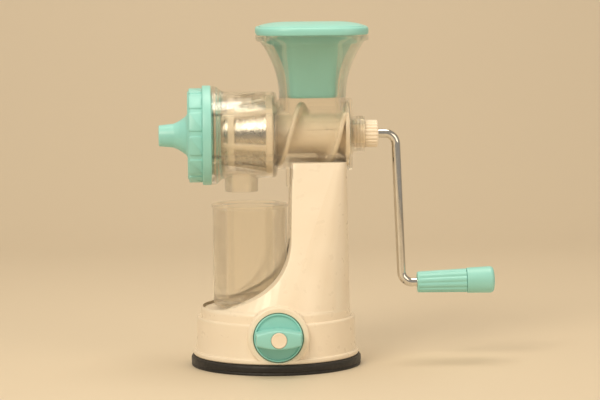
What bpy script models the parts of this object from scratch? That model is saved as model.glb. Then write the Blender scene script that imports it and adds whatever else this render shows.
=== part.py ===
"""Hand-crank fruit juicer on a suction stand, as an assembly of separate pieces.

Frame: +Z up, +X towards the crank, -Y towards the user. The origin is the centre
of the suction pad's flat underside. All sizes are in metres and angles in degrees.
"""
import math

import bmesh
import bpy
from mathutils import Matrix, Vector
from mathutils.geometry import interpolate_bezier

OBJECT_NAME = "hand_crank_juicer"

# General
GAP = 0.0003                    # between pieces that touch
RUNNING = 0.0006                # between pieces that turn or slide on each other
OVERRUN = 0.002                 # how far a cutter passes the face that it opens
ROUND_STEPS = 32
LARGE_STEPS = 40
SMALL_STEPS = 16
PLASTIC_WALL = 0.003            # white mouldings
CLEAR_WALL = 0.0024             # clear and turquoise mouldings

# Suction pad and stand
PAD_RADIUS = 0.0761
PAD_HEIGHT = 0.009
PAD_WEB = 0.003
PAD_RIM_WIDTH = 0.010
LIP_INSET = 0.0021
LIP_HEIGHT = 0.0045
DRUM_INSET = 0.0055
DRUM_DRAFT = 0.0008
LEDGE_HEIGHT = 0.044
LEDGE_WIDTH = 0.0035
SHELF_HEIGHT = 0.054
SHELF_ROUND = 0.004
COLUMN_SETBACK = 0.0006
COLUMN_RIGHT = 0.0635
COLUMN_LEFT = 0.0150
COLUMN_HALF_DEPTH = 0.031
COLUMN_CORNER = 0.010
COLUMN_SIDES_ABOVE_BARREL = 0.008
WAIST_LEFT = 0.0127
WAIST_RISE = 0.0588
SWOOP_START = -0.0460
SWOOP_HANDLE_LOW = (0.0280, 0.0100)
SWOOP_HANDLE_HIGH = (0.0027, 0.0368)
SWOOP_STEPS = 9
SWOOP_LEAD = 0.4
COLUMN_LEVELS = 4
LOFT_LEVELS = 5
CORNER_STEPS = 6
CORNER_LIMIT = 0.98
DECK_THICKNESS = 0.0068

# Juice glass and its bay in the stand
GLASS_RADIUS = 0.0333
GLASS_RIM_PROUD = 0.0010
GLASS_HEIGHT = 0.0910
GLASS_WALL = 0.0020
GLASS_FLOOR = 0.0035
GLASS_ROUND = 0.005
BAY_CLEARANCE = 0.0022
BAY_RECESS = 0.0008

# Lock knob, on an axis along Y
KNOB_X = 0.0
KNOB_HEIGHT = 0.033
KNOB_RADIUS = 0.0215
KNOB_FRONT = 0.0720
KNOB_DEPTH = 0.0175
KNOB_DISC = 0.0155
KNOB_RIM = 0.0016
BAR_PROUD = 0.0165
BAR_HALF_MIDDLE = 0.00875
BAR_HALF_END = 0.00525
BAR_STEPS = 8
BAR_SWELL = 0.8
BOSS_WALL = 0.0049
CAP_RADIUS = 0.0069
CAP_THICKNESS = 0.0060
CAP_PROUD = 0.0006

# Suction mechanism
SHAFT_RADIUS = 0.0065
STUB_RADIUS = 0.0030
STUB_LENGTH = 0.0200
SCREW_RADIUS = 0.0017
SCREW_HEAD_RADIUS = 0.0035
SCREW_HEAD_HEIGHT = 0.0022
HEAD_CROWN = 0.7                # radius of a screw head's flat, of the head's
LIFT = 0.003
PIN_RADIUS = 0.0025
PIN_CLEARANCE = 0.0008
YOKE_HALF_WIDTH = 0.010
YOKE_HALF_DEPTH = 0.005
YOKE_LAND = 0.0045
YOKE_STEM_RADIUS = 0.005
YOKE_FOOT_RADIUS = 0.011
YOKE_FOOT_HEIGHT = 0.003
PLATE_LOW = 0.019
PLATE_THICKNESS = 0.003
PLATE_CLEARANCE = 0.0008
POST_HALF_WIDTH = 0.010
POST_NEAR = 0.010
POST_THICKNESS = 0.006
POST_LAND = 0.003
BOSS_RADIUS = 0.005
BOSS_REACH = 0.0036
BOSS_HEIGHT = 0.020
SCREW_COUNT = 4
SCREW_LENGTH = 0.010
SPRING_RADIUS = 0.0077
SPRING_WIRE = 0.0007
SPRING_TURNS = 3
SPRING_STEPS = 16
CLIP_WIDTH = 0.0010
CLIP_HEIGHT = 0.0030
CLIP_DEPTH = 0.0011

# Clear juicing body, on an axis along X
AXIS_HEIGHT = 0.206
CHAMBER_RADIUS = 0.0385
CHAMBER_LEFT = -0.052
CHAMBER_RIGHT = 0.0022
CHAMBER_ROUND = 0.004
RIM_RADIUS = 0.0440
RIM_WIDTH = 0.004
BARREL_RADIUS = 0.0314
FLANGE_LEFT = 0.0632
FLANGE_RIGHT = 0.0690
FLANGE_PROUD = 0.0008
NECK_RADIUS = 0.0160
NECK_WALL = 0.003
NECK_END = 0.0807
DISH_DEPTH = 0.0018
SPOUT_RADIUS = 0.0150
SPOUT_WALL = 0.0020
SPOUT_X = -0.0296
SPOUT_DROP = 0.0118
HOPPER_X = 0.0341
HOPPER_NECK_X = 0.0294
HOPPER_NECK_Y = 0.0250
HOPPER_STRAIGHT = 0.004
HOPPER_FLARE = 0.0156
HOPPER_FLARE_POWER = 2.2
HOPPER_CORNER = 0.012
CORNER_GROWTH = 1.0             # of the flare
HOPPER_RISE = 0.0526
HOPPER_LIP = 0.0075
HOPPER_LIP_OUT = 0.005
LEG_LENGTH = 0.015
LEG_THICKNESS = 0.003
LEG_HALF_WIDTH = 0.012
HEAD_BOSS_RADIUS = 0.005
HEAD_BOSS_SPACING = 0.024
HEAD_BOSS_X = 0.0400
JOINT_SHARE = 0.85              # how deep spout, leg and bosses start, of a bore's radius
FLARE_LIMIT = 1.1

# Auger, strainer and drive
CORE_RADIUS = 0.0170
CORE_TIP_RADIUS = 0.0060
CORE_TIP = -0.078
AUGER_CLEARANCE = 0.0005
FLIGHT_PITCH = 0.044
FLIGHT_THICKNESS = 0.0036
FLIGHT_STEPS = 20
FLIGHT_PHASE = 38.0
FLIGHT_ROOT_SHARE = 0.75
CORE_LEFT_SHARE = 0.8
AUGER_DISC = 0.0034
DRIVE_SHAFT_RADIUS = 0.005
DRIVE_SHAFT_LEFT = 0.020
SEAL_WIDTH = 0.0024
STRAINER_LEFT = -0.0500
STRAINER_RIGHT = -0.0030
STRAINER_RIGHT_RADIUS = 0.0303
STRAINER_LEFT_RADIUS = 0.0228
STRAINER_SHEET = 0.0008
FRAME_THICKNESS = 0.0026
FRAME_RING_WIDTH = 0.006
RING_REACH = 0.0042
RIB_COUNT = 6
RIB_WIDTH = 0.0054
RIB_PHASE = 0.8                 # share of the spacing between ribs
RING_MIDDLE_SHARE = 2.4         # of a ring's width, from the cone's left end
RING_LEFT_SHARE = 0.6
RIB_REACH_SHARE = 0.7

# Front cap with its pulp nozzle
CAP_FLANGE_PROUD = 0.0004
CAP_FLANGE_WIDTH = 0.0079
CAP_DRUM_RADIUS = 0.0410
CAP_DRUM_WIDTH = 0.0131
CAP_RIB_COUNT = 12
CAP_RIB_RADIUS = 0.0024
CAP_RIB_PHASE = 0.3
CAP_RIB_SUNK = 0.45
CAP_SPIGOT_WIDTH = 0.0060
CAP_SEAL_WIDTH = 0.0021
CAP_SEAL_DEPTH = 0.0017
NOZZLE_ROOT_RADIUS = 0.0175
NOZZLE_WAIST_RADIUS = 0.0110
NOZZLE_TIP_RADIUS = 0.0093
NOZZLE_FLARE = 0.0123
NOZZLE_LENGTH = 0.0257
NOZZLE_WALL = 0.0018
NOZZLE_CREASE_RADIUS = 1.2      # of the waist's radius
NOZZLE_CREASE_DEPTH = 0.6       # of the flare's length

# Pusher
PUSHER_FOOT_X = 0.0223
PUSHER_FOOT_Y = 0.0180
PUSHER_FLARE = 0.0135
PUSHER_FLARE_POWER = 2.4
PUSHER_COLLAR = 0.0045
COLLAR_HEIGHT = 0.0075
PUSHER_FLANGE = 0.0070
PUSHER_DOME = 0.0035
PUSHER_TOP_RIM = 0.0030
PUSHER_CORNER = 0.010
PUSHER_BOTTOM_RISE = 0.0015
COVER_PULL = 3.0                # how far the dome draws in, in rims

# Crank
NUT_RADIUS = 0.0122
NUT_LENGTH = 0.0117
NUT_FLUTES = 10
NUT_FLUTE_DEPTH = 0.0007
NUT_CHAMFER = 0.0018
NUT_SHAFT_SHARE = 0.45          # of the nut's length, filled by the drive shaft
ROD_RADIUS = 0.0040
ROD_TOP_X = 0.1084
ROD_LEAN = 0.0052
ROD_BEND = 0.010
THROW = 0.1347
GRIP_TILT = 1.3
GRIP_START = 0.0138
GRIP_SLEEVE = 0.0446
GRIP_LENGTH = 0.0696
GRIP_START_RADIUS = 0.0094
GRIP_STEP_RADIUS = 0.0107
GRIP_CAP_RADIUS = 0.0112
GRIP_END_RADIUS = 0.0120
GRIP_SPIGOT = 0.0026
GRIP_ROUND = 0.005
RETAINER_RADIUS = 0.0068
RETAINER_LENGTH = 0.004
RETAINER_BORE = 0.7             # depth of its bore, of its length
GRIP_EDGE = 0.0011

# Sizes that follow from the ones above
SHELL_LOW = PAD_HEIGHT + GAP
LIP_RADIUS = PAD_RADIUS - LIP_INSET
DRUM_RADIUS = PAD_RADIUS - DRUM_INSET
UPPER_RADIUS = DRUM_RADIUS - LEDGE_WIDTH
BAY_FLOOR = SHELF_HEIGHT - BAY_RECESS
GLASS_LOW = BAY_FLOOR + GAP
BAY_RADIUS = GLASS_RADIUS + BAY_CLEARANCE
GLASS_X = WAIST_LEFT - BAY_RADIUS + GAP
GLASS_TOP = GLASS_LOW + GLASS_HEIGHT
BARREL_BOTTOM = AXIS_HEIGHT - BARREL_RADIUS
COLUMN_TOP = BARREL_BOTTOM + COLUMN_SIDES_ABOVE_BARREL
DECK_LOW = BARREL_BOTTOM - GAP - DECK_THICKNESS
BORE_RADIUS = BARREL_RADIUS - CLEAR_WALL
CHAMBER_BORE = CHAMBER_RADIUS - CLEAR_WALL
RIM_LEFT = CHAMBER_LEFT - RIM_WIDTH
KNOB_BACK = KNOB_FRONT - KNOB_DEPTH
KNOB_RECESS = KNOB_BACK + KNOB_DISC
POCKET_RADIUS = KNOB_RADIUS + RUNNING
POCKET_FLOOR = KNOB_BACK - RUNNING
BOSS_FRONT = KNOB_FRONT + GAP
BAR_FRONT = KNOB_FRONT + BAR_PROUD
CAP_BACK = BAR_FRONT + CAP_PROUD - CAP_THICKNESS
SCREW_SEAT = KNOB_BACK + STUB_LENGTH + PLASTIC_WALL
YOKE_LOW = KNOB_HEIGHT - PIN_RADIUS - PIN_CLEARANCE - YOKE_LAND
YOKE_TOP = KNOB_HEIGHT + PIN_RADIUS + PIN_CLEARANCE + YOKE_LAND
FOOT_LOW = PAD_WEB + GAP
FOOT_TOP = FOOT_LOW + YOKE_FOOT_HEIGHT
PLATE_TOP = PLATE_LOW + PLATE_THICKNESS
DRUM_BORE = DRUM_RADIUS - PLASTIC_WALL
HOPPER_BASE = AXIS_HEIGHT + BARREL_RADIUS
HOPPER_TOP = HOPPER_BASE + HOPPER_RISE + HOPPER_LIP_OUT
END_WALL = FLANGE_RIGHT - CLEAR_WALL
NECK_BORE = NECK_RADIUS - NECK_WALL
NUT_LEFT = NECK_END + GAP
NUT_RIGHT = NUT_LEFT + NUT_LENGTH
NUT_MIDDLE = NUT_LEFT + NUT_LENGTH * NUT_SHAFT_SHARE
GRIP_HEIGHT = AXIS_HEIGHT - THROW
PUSHER_LOW = HOPPER_BASE + PUSHER_BOTTOM_RISE


# ---------------------------------------------------------------- scene helpers

def clear_scene():
    """Remove every object that the file starts with."""
    for item in list(bpy.data.objects):
        bpy.data.objects.remove(item, do_unlink=True)


def new_collection(name):
    """Return a new collection in the scene."""
    collection = bpy.data.collections.new(name)
    bpy.context.scene.collection.children.link(collection)
    return collection


def finish(name, color, roughness, metallic=0.0, alpha=1.0):
    """Return a Principled material."""
    made = bpy.data.materials.new(name)
    made.use_nodes = True
    shader = made.node_tree.nodes["Principled BSDF"]
    shader.inputs["Base Color"].default_value = (*color, 1.0)
    shader.inputs["Roughness"].default_value = roughness
    shader.inputs["Metallic"].default_value = metallic
    shader.inputs["Alpha"].default_value = alpha
    return made


class Workshop:
    """The collections, the axes that pieces turn on, and the cutter count."""

    def __init__(self):
        self.parts = new_collection(OBJECT_NAME)
        self.cutters = new_collection("cutters")
        self.axes = {}

    def axis(self, name, place, turn=(0.0, 0.0, 0.0)):
        """Add an empty whose local Z is a joint's axis."""
        empty = bpy.data.objects.new(name, None)
        empty.location = place
        empty.rotation_euler = [math.radians(angle) for angle in turn]
        self.parts.objects.link(empty)
        self.axes[name] = empty
        return empty

    def place(self, name, data, look=None, axis=None):
        """Link a piece, or a cutter when it has no finish, and parent it to an axis."""
        made = bpy.data.objects.new(name, data)
        if look is None:
            made.hide_render = True
            made.display_type = "WIRE"
            self.cutters.objects.link(made)
        else:
            data.materials.append(look)
            self.parts.objects.link(made)
        if axis:
            made.parent = self.axes[axis]
        return made


def mesh_from(name, bm):
    """Turn a bmesh into mesh data with its faces pointing out."""
    bmesh.ops.recalc_face_normals(bm, faces=bm.faces)
    data = bpy.data.meshes.new(name)
    bm.to_mesh(data)
    bm.free()
    return data


def turned_data(name, profile):
    """Return the wire of a turned profile; it runs down the outer side, top to bottom."""
    closed = profile[0][0] > 0.0
    count = len(profile)
    edges = [(i, (i + 1) % count) for i in range(count if closed else count - 1)]
    data = bpy.data.meshes.new(name)
    data.from_pydata([(radius, 0.0, height) for radius, height in profile], edges, [])
    return data


def turned(shop, name, profile, look=None, axis=None, steps=ROUND_STEPS):
    """Turn a profile about local Z with a Screw modifier."""
    made = shop.place(name, turned_data(name, profile), look, axis)
    screw = made.modifiers.new("turn", "SCREW")
    screw.steps = steps
    screw.render_steps = steps
    screw.use_merge_vertices = True
    screw.merge_threshold = 0.00001
    return made


def rod(shop, name, radius, low, high, look=None, axis=None, steps=SMALL_STEPS, at=(0.0, 0.0)):
    """A cylinder along local Z from low to high."""
    bm = bmesh.new()
    centre = Matrix.Translation((at[0], at[1], (low + high) / 2))
    bmesh.ops.create_cone(bm, cap_ends=True, segments=steps, radius1=radius, radius2=radius,
                          depth=high - low, matrix=centre)
    return shop.place(name, mesh_from(name, bm), look, axis)


def block(shop, name, low, high, look=None, axis=None):
    """A box between two corners."""
    bm = bmesh.new()
    low, high = Vector(low), Vector(high)
    shape = Matrix.Translation((low + high) / 2) @ Matrix.Diagonal((*(high - low), 1.0))
    bmesh.ops.create_cube(bm, size=1.0, matrix=shape)
    return shop.place(name, mesh_from(name, bm), look, axis)


def extruded(shop, name, outline, low, high, look=None, axis=None):
    """A flat outline in local XY, extruded along local Z."""
    bm = bmesh.new()
    face = bm.faces.new([bm.verts.new((x, y, low)) for x, y in outline])
    raised = bmesh.ops.extrude_face_region(bm, geom=[face])["geom"]
    corners = [item for item in raised if isinstance(item, bmesh.types.BMVert)]
    bmesh.ops.translate(bm, verts=corners, vec=(0.0, 0.0, high - low))
    return shop.place(name, mesh_from(name, bm), look, axis)


def lofted(shop, name, sections, look=None, axis=None):
    """A skin over closed sections of equal point counts, lowest first, capped at both ends."""
    bm = bmesh.new()
    rings = [[bm.verts.new(point) for point in section] for section in sections]
    for below, above in zip(rings, rings[1:]):
        for i in range(len(below)):
            j = (i + 1) % len(below)
            bm.faces.new((below[i], below[j], above[j], above[i]))
    bm.faces.new(reversed(rings[0]))
    bm.faces.new(rings[-1])
    return shop.place(name, mesh_from(name, bm), look, axis)


def boolean(target, tool, operation):
    """Add one Boolean to a piece."""
    made = target.modifiers.new(operation.lower() + "_" + tool.name, "BOOLEAN")
    made.operation = operation
    made.object = tool


def cut(target, *tools):
    """Cut each tool from a piece."""
    for tool in tools:
        boolean(target, tool, "DIFFERENCE")


def join(target, *tools):
    """Add each tool to a piece as one body."""
    for tool in tools:
        boolean(target, tool, "UNION")


def arc(centre, radius, start, end, steps):
    """Points on an arc, angles in degrees from +X towards +Y."""
    angles = [math.radians(start + (end - start) * i / steps) for i in range(steps + 1)]
    return [(centre[0] + radius * math.cos(a), centre[1] + radius * math.sin(a)) for a in angles]


def rounded_rectangle(half_x, half_y, corner, centre=(0.0, 0.0)):
    """Outline whose four corners hold every point, from +X anticlockwise."""
    corner = min(corner, half_x * CORNER_LIMIT, half_y * CORNER_LIMIT)
    points = []
    for quarter, (sx, sy) in enumerate(((1, 1), (-1, 1), (-1, -1), (1, -1))):
        hub = (centre[0] + sx * (half_x - corner), centre[1] + sy * (half_y - corner))
        points += arc(hub, corner, 90.0 * quarter, 90.0 * quarter + 90.0, CORNER_STEPS - 1)
    return points


def circle_outline(radius):
    """A circle with its points set as rounded_rectangle sets them."""
    count = 4 * CORNER_STEPS
    angles = [2.0 * math.pi * (i + 0.5) / count for i in range(count)]
    return [(radius * math.cos(a), radius * math.sin(a)) for a in angles]


def blended(first, second, share):
    """Outline part of the way between two others."""
    return [(a[0] + (b[0] - a[0]) * share, a[1] + (b[1] - a[1]) * share)
            for a, b in zip(first, second)]


# ---------------------------------------------------------------- stand

def swoop_line(offset):
    """The concave left side of the column, (x, z), moved into the column by an offset."""
    start = Vector((SWOOP_START, SHELF_HEIGHT, 0.0))
    waist = Vector((WAIST_LEFT, SHELF_HEIGHT + WAIST_RISE, 0.0))
    low = start + Vector((*SWOOP_HANDLE_LOW, 0.0))
    high = waist - Vector((*SWOOP_HANDLE_HIGH, 0.0))
    curve = interpolate_bezier(start, low, high, waist, SWOOP_STEPS)
    curve.append(Vector((COLUMN_LEFT, COLUMN_TOP + OVERRUN, 0.0)))
    curve.insert(0, start - Vector((*SWOOP_HANDLE_LOW, 0.0)) * SWOOP_LEAD)
    moved = []
    for i, point in enumerate(curve):
        along = (curve[min(i + 1, len(curve) - 1)] - curve[max(i - 1, 0)]).normalized()
        moved.append((point.x + along.y * offset, point.y - along.x * offset))
    return moved


def column_left_at(z):
    """X of the column's left side above its waist."""
    waist = SHELF_HEIGHT + WAIST_RISE
    share = (z - waist) / (COLUMN_TOP + OVERRUN - waist)
    return WAIST_LEFT + (COLUMN_LEFT - WAIST_LEFT) * share


def swoop_cutter(shop, name, offset):
    """Everything to the left of the column's concave side, extruded along Y."""
    line = swoop_line(offset)
    floor = line[0][1]
    outline = line + [(-2 * PAD_RADIUS, COLUMN_TOP + OVERRUN), (-2 * PAD_RADIUS, floor)]
    cutter = extruded(shop, name, outline, -2 * PAD_RADIUS, 2 * PAD_RADIUS)
    cutter.rotation_euler.x = math.radians(90.0)
    return cutter


def bay_cutter(shop, name, extra):
    """The glass's bay: a round end and a slot that leaves to the left."""
    radius = BAY_RADIUS + extra
    outline = arc((GLASS_X, 0.0), radius, -90.0, 90.0, ROUND_STEPS // 2)
    outline += [(-2 * PAD_RADIUS, radius), (-2 * PAD_RADIUS, -radius)]
    top = SHELF_HEIGHT + WAIST_RISE + extra
    return extruded(shop, name, outline, BAY_FLOOR - extra, top)


def column_sections(inset, low, high):
    """Sections of the column, a circle at the ledge and a rounded rectangle at its top."""
    centre = ((COLUMN_RIGHT + COLUMN_LEFT) / 2 - PLASTIC_WALL, 0.0)
    half_x = COLUMN_RIGHT - inset - centre[0]
    top = rounded_rectangle(half_x, COLUMN_HALF_DEPTH - inset, COLUMN_CORNER, centre)
    foot = circle_outline(UPPER_RADIUS - COLUMN_SETBACK - inset)
    sections = []
    for level in range(COLUMN_LEVELS + 1):
        z = low + (high - low) * level / COLUMN_LEVELS
        share = (z - LEDGE_HEIGHT) / (COLUMN_TOP - LEDGE_HEIGHT)
        sections.append([(x, y, z) for x, y in blended(foot, top, share)])
    return sections


def drum_profile():
    """Outside of the drum base, from its shelf to its lip."""
    shoulder = arc((UPPER_RADIUS - SHELF_ROUND, SHELF_HEIGHT - SHELF_ROUND), SHELF_ROUND,
                   90.0, 0.0, 3)
    ledge = arc((DRUM_RADIUS - LEDGE_WIDTH / 2, LEDGE_HEIGHT - LEDGE_WIDTH / 2),
                LEDGE_WIDTH / 2, 90.0, 0.0, 2)
    lip_middle = SHELL_LOW + LIP_HEIGHT / 2
    lip = arc((LIP_RADIUS - LIP_HEIGHT / 2, lip_middle), LIP_HEIGHT / 2, 60.0, -90.0, 4)
    foot = (DRUM_RADIUS + DRUM_DRAFT, SHELL_LOW + LIP_HEIGHT)
    return [(0.0, SHELF_HEIGHT), *shoulder, (UPPER_RADIUS, LEDGE_HEIGHT), *ledge, foot, *lip,
            (0.0, SHELL_LOW)]


def drum_hollow_profile():
    """Inside of the drum base, open underneath."""
    ceiling = SHELF_HEIGHT - PLASTIC_WALL
    step = LEDGE_HEIGHT - PLASTIC_WALL
    return [(0.0, ceiling), (UPPER_RADIUS - PLASTIC_WALL, ceiling),
            (UPPER_RADIUS - PLASTIC_WALL, step), (DRUM_BORE, step - LEDGE_WIDTH),
            (DRUM_BORE, SHELL_LOW - OVERRUN), (0.0, SHELL_LOW - OVERRUN)]


def plate_screw_places():
    """Centres of the four screws that hold the base plate."""
    reach = DRUM_BORE - BOSS_REACH
    turn = 360.0 / SCREW_COUNT
    angles = [math.radians(turn * (i + 0.5)) for i in range(SCREW_COUNT)]
    return [(reach * math.cos(a), reach * math.sin(a)) for a in angles]


def head_screw_places():
    """X of the two screws that hold the juicing body on the stand."""
    return {"left": HEAD_BOSS_X - HEAD_BOSS_SPACING / 2, "right": HEAD_BOSS_X + HEAD_BOSS_SPACING / 2}


def stand_body(shop, look):
    """White shell: drum base, swept column, saddle, knob pocket and glass bay."""
    stand = turned(shop, "stand_body", drum_profile(), look, steps=LARGE_STEPS)
    column = lofted(shop, "column", column_sections(0.0, LEDGE_HEIGHT - OVERRUN, COLUMN_TOP))
    knob_boss = rod(shop, "knob_boss", POCKET_RADIUS + BOSS_WALL, KNOB_BACK - BOSS_WALL,
                    BOSS_FRONT, axis="knob_axis", steps=ROUND_STEPS)
    cut(column, swoop_cutter(shop, "swoop", 0.0))
    cut(knob_boss, block(shop, "boss_trim", (-PAD_RADIUS, -2 * PAD_RADIUS, -PAD_RADIUS),
                         (PAD_RADIUS, 2 * PAD_RADIUS, SHELL_LOW + LIP_HEIGHT / 2)))
    join(stand, column, knob_boss)

    pocket_wall = rod(shop, "pocket_wall", POCKET_RADIUS + PLASTIC_WALL,
                      POCKET_FLOOR - PLASTIC_WALL, 2 * BOSS_FRONT, axis="knob_axis",
                      steps=ROUND_STEPS)
    drum_hollow = turned(shop, "drum_hollow", drum_hollow_profile(), steps=LARGE_STEPS)
    column_hollow = lofted(shop, "column_hollow",
                           column_sections(PLASTIC_WALL, LEDGE_HEIGHT + OVERRUN, DECK_LOW))
    cut(drum_hollow, pocket_wall)
    cut(column_hollow, swoop_cutter(shop, "swoop_wall", PLASTIC_WALL),
        bay_cutter(shop, "bay_wall", PLASTIC_WALL), pocket_wall)
    cut(stand, drum_hollow, column_hollow)
    for i, (x, y) in enumerate(plate_screw_places()):
        foot = PLATE_TOP + GAP
        boss = rod(shop, f"plate_boss_{i}", BOSS_RADIUS, foot, foot + BOSS_HEIGHT, at=(x, y))
        join(stand, boss)
        cut(stand, rod(shop, f"plate_pilot_{i}", SCREW_RADIUS + GAP, foot - OVERRUN,
                       foot + SCREW_LENGTH, at=(x, y)))

    saddle = rod(shop, "saddle", BARREL_RADIUS + GAP, 0.0, 2 * PAD_RADIUS, axis="drive_axis",
                 steps=LARGE_STEPS)
    pocket = rod(shop, "pocket", POCKET_RADIUS, POCKET_FLOOR, 2 * BOSS_FRONT, axis="knob_axis",
                 steps=ROUND_STEPS)
    shaft_hole = rod(shop, "shaft_hole", SHAFT_RADIUS + GAP, POCKET_FLOOR - 2 * PLASTIC_WALL,
                     POCKET_FLOOR + OVERRUN, axis="knob_axis")
    relief = rod(shop, "flange_relief", BARREL_RADIUS + FLANGE_PROUD + GAP, FLANGE_LEFT - GAP,
                 FLANGE_RIGHT, axis="drive_axis", steps=LARGE_STEPS)
    cut(stand, bay_cutter(shop, "bay", 0.0), saddle, relief, pocket, shaft_hole)
    for side, x in head_screw_places().items():
        cut(stand, rod(shop, f"head_hole_{side}", HEAD_BOSS_RADIUS + GAP, DECK_LOW - OVERRUN,
                       AXIS_HEIGHT, at=(x, 0.0)))
    return stand


# ---------------------------------------------------------------- suction mechanism

def suction_pad(shop, look):
    """Rubber disc with a raised rim and a hub ring round the lifter's foot."""
    rim = arc((PAD_RADIUS - 0.002, PAD_HEIGHT - 0.002), 0.002, 90.0, 0.0, 2)
    hub_in = YOKE_FOOT_RADIUS + GAP
    hub_out = hub_in + PLASTIC_WALL
    rim_in = PAD_RADIUS - PAD_RIM_WIDTH
    profile = [(0.0, PAD_WEB), (hub_in, PAD_WEB), (hub_in, FOOT_TOP), (hub_out, FOOT_TOP),
               (hub_out + PAD_WEB, PAD_WEB), (rim_in - PAD_WEB, PAD_WEB), (rim_in, PAD_HEIGHT),
               *rim, (PAD_RADIUS, 0.0), (0.0, 0.0)]
    return turned(shop, "suction_pad", profile, look)


def base_plate(shop, look):
    """Inner plate across the drum, with the post that carries the cam shaft."""
    plate = turned(shop, "base_plate",
                   [(YOKE_STEM_RADIUS + RUNNING, PLATE_TOP), (DRUM_BORE - PLATE_CLEARANCE, PLATE_TOP),
                    (DRUM_BORE - PLATE_CLEARANCE, PLATE_LOW),
                    (YOKE_STEM_RADIUS + RUNNING, PLATE_LOW)], look)
    post = block(shop, "shaft_post",
                 (KNOB_X - POST_HALF_WIDTH, -POST_NEAR - POST_THICKNESS, PLATE_LOW + OVERRUN / 2),
                 (KNOB_X + POST_HALF_WIDTH, -POST_NEAR, KNOB_HEIGHT + SHAFT_RADIUS + POST_LAND))
    join(plate, post)
    cut(plate, rod(shop, "post_bore", SHAFT_RADIUS + GAP, POST_NEAR - OVERRUN,
                   POST_NEAR + POST_THICKNESS + OVERRUN, axis="knob_axis"))
    notch = rod(shop, "plate_notch", POCKET_RADIUS + PLASTIC_WALL + PLATE_CLEARANCE,
                POCKET_FLOOR - PLASTIC_WALL - PLATE_CLEARANCE, 2 * BOSS_FRONT, axis="knob_axis",
                steps=ROUND_STEPS)
    cut(plate, notch)
    for i, (x, y) in enumerate(plate_screw_places()):
        cut(plate, rod(shop, f"plate_hole_{i}", SCREW_RADIUS + GAP, PLATE_LOW - OVERRUN,
                       PLATE_TOP + OVERRUN, at=(x, y)))
    return plate


def screw_profile(radius, head_radius, head_height, length):
    """Pan-head screw, head down: its shank starts at height 0 and points up."""
    return [(0.0, length), (radius, length), (radius, 0.0), (head_radius, 0.0),
            (head_radius, -head_height / 2), (head_radius * HEAD_CROWN, -head_height),
            (0.0, -head_height)]


def plate_screws(shop, look):
    """Four screws up through the base plate into the stand's bosses."""
    profile = screw_profile(SCREW_RADIUS, SCREW_HEAD_RADIUS, SCREW_HEAD_HEIGHT,
                            SCREW_LENGTH + PLATE_THICKNESS - OVERRUN)
    for i, (x, y) in enumerate(plate_screw_places()):
        screw = turned(shop, f"plate_screw_{i + 1}", profile, look, steps=12)
        screw.location = (x, y, PLATE_LOW - GAP)


def lift_yoke(shop, look):
    """Lifter: a foot in the pad's hub, a stem and a slotted block on the cam pin."""
    yoke = turned(shop, "lift_yoke",
                  [(0.0, YOKE_LOW + OVERRUN), (YOKE_STEM_RADIUS, YOKE_LOW + OVERRUN),
                   (YOKE_STEM_RADIUS, FOOT_TOP), (YOKE_FOOT_RADIUS, FOOT_TOP),
                   (YOKE_FOOT_RADIUS, FOOT_LOW), (0.0, FOOT_LOW)], look, steps=20)
    head = block(shop, "yoke_head", (KNOB_X - YOKE_HALF_WIDTH, -YOKE_HALF_DEPTH, YOKE_LOW),
                 (KNOB_X + YOKE_HALF_WIDTH, YOKE_HALF_DEPTH, YOKE_TOP))
    half_height = PIN_RADIUS + PIN_CLEARANCE
    half_width = PIN_RADIUS + LIFT + PIN_CLEARANCE
    slot = block(shop, "yoke_slot",
                 (KNOB_X - half_width, -2 * YOKE_HALF_DEPTH, KNOB_HEIGHT - half_height),
                 (KNOB_X + half_width, 2 * YOKE_HALF_DEPTH, KNOB_HEIGHT + half_height))
    join(yoke, head)
    cut(yoke, slot)
    return yoke


def wire(shop, name, points, radius, look, resolution=2):
    """A wire along points, made a mesh with welded caps."""
    curve = bpy.data.curves.new(name, "CURVE")
    curve.dimensions = "3D"
    curve.bevel_depth = radius
    curve.bevel_resolution = resolution
    curve.use_fill_caps = True
    spline = curve.splines.new("POLY")
    spline.points.add(len(points) - 1)
    for knot, place in zip(spline.points, points):
        knot.co = (*place, 1.0)
    guide = bpy.data.objects.new(name + "_path", curve)
    shop.cutters.objects.link(guide)
    bpy.context.view_layer.update()
    graph = bpy.context.evaluated_depsgraph_get()
    data = bpy.data.meshes.new_from_object(guide.evaluated_get(graph))
    bpy.data.objects.remove(guide, do_unlink=True)
    bm = bmesh.new()
    bm.from_mesh(data)
    bmesh.ops.remove_doubles(bm, verts=bm.verts, dist=radius * 0.01)
    data.materials.clear()
    bmesh.ops.recalc_face_normals(bm, faces=bm.faces)
    bm.to_mesh(data)
    bm.free()
    return shop.place(name, data, look)


def return_spring(shop, look):
    """Coil between the pad's hub and the base plate; it presses the pad down."""
    low = FOOT_TOP + GAP + SPRING_WIRE
    high = PLATE_LOW - GAP - SPRING_WIRE
    count = SPRING_TURNS * SPRING_STEPS
    points = []
    for i in range(count + 1):
        turn = 2.0 * math.pi * i / SPRING_STEPS
        points.append((SPRING_RADIUS * math.cos(turn), SPRING_RADIUS * math.sin(turn),
                       low + (high - low) * i / count))
    return wire(shop, "return_spring", points, SPRING_WIRE, look, resolution=1)


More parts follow.
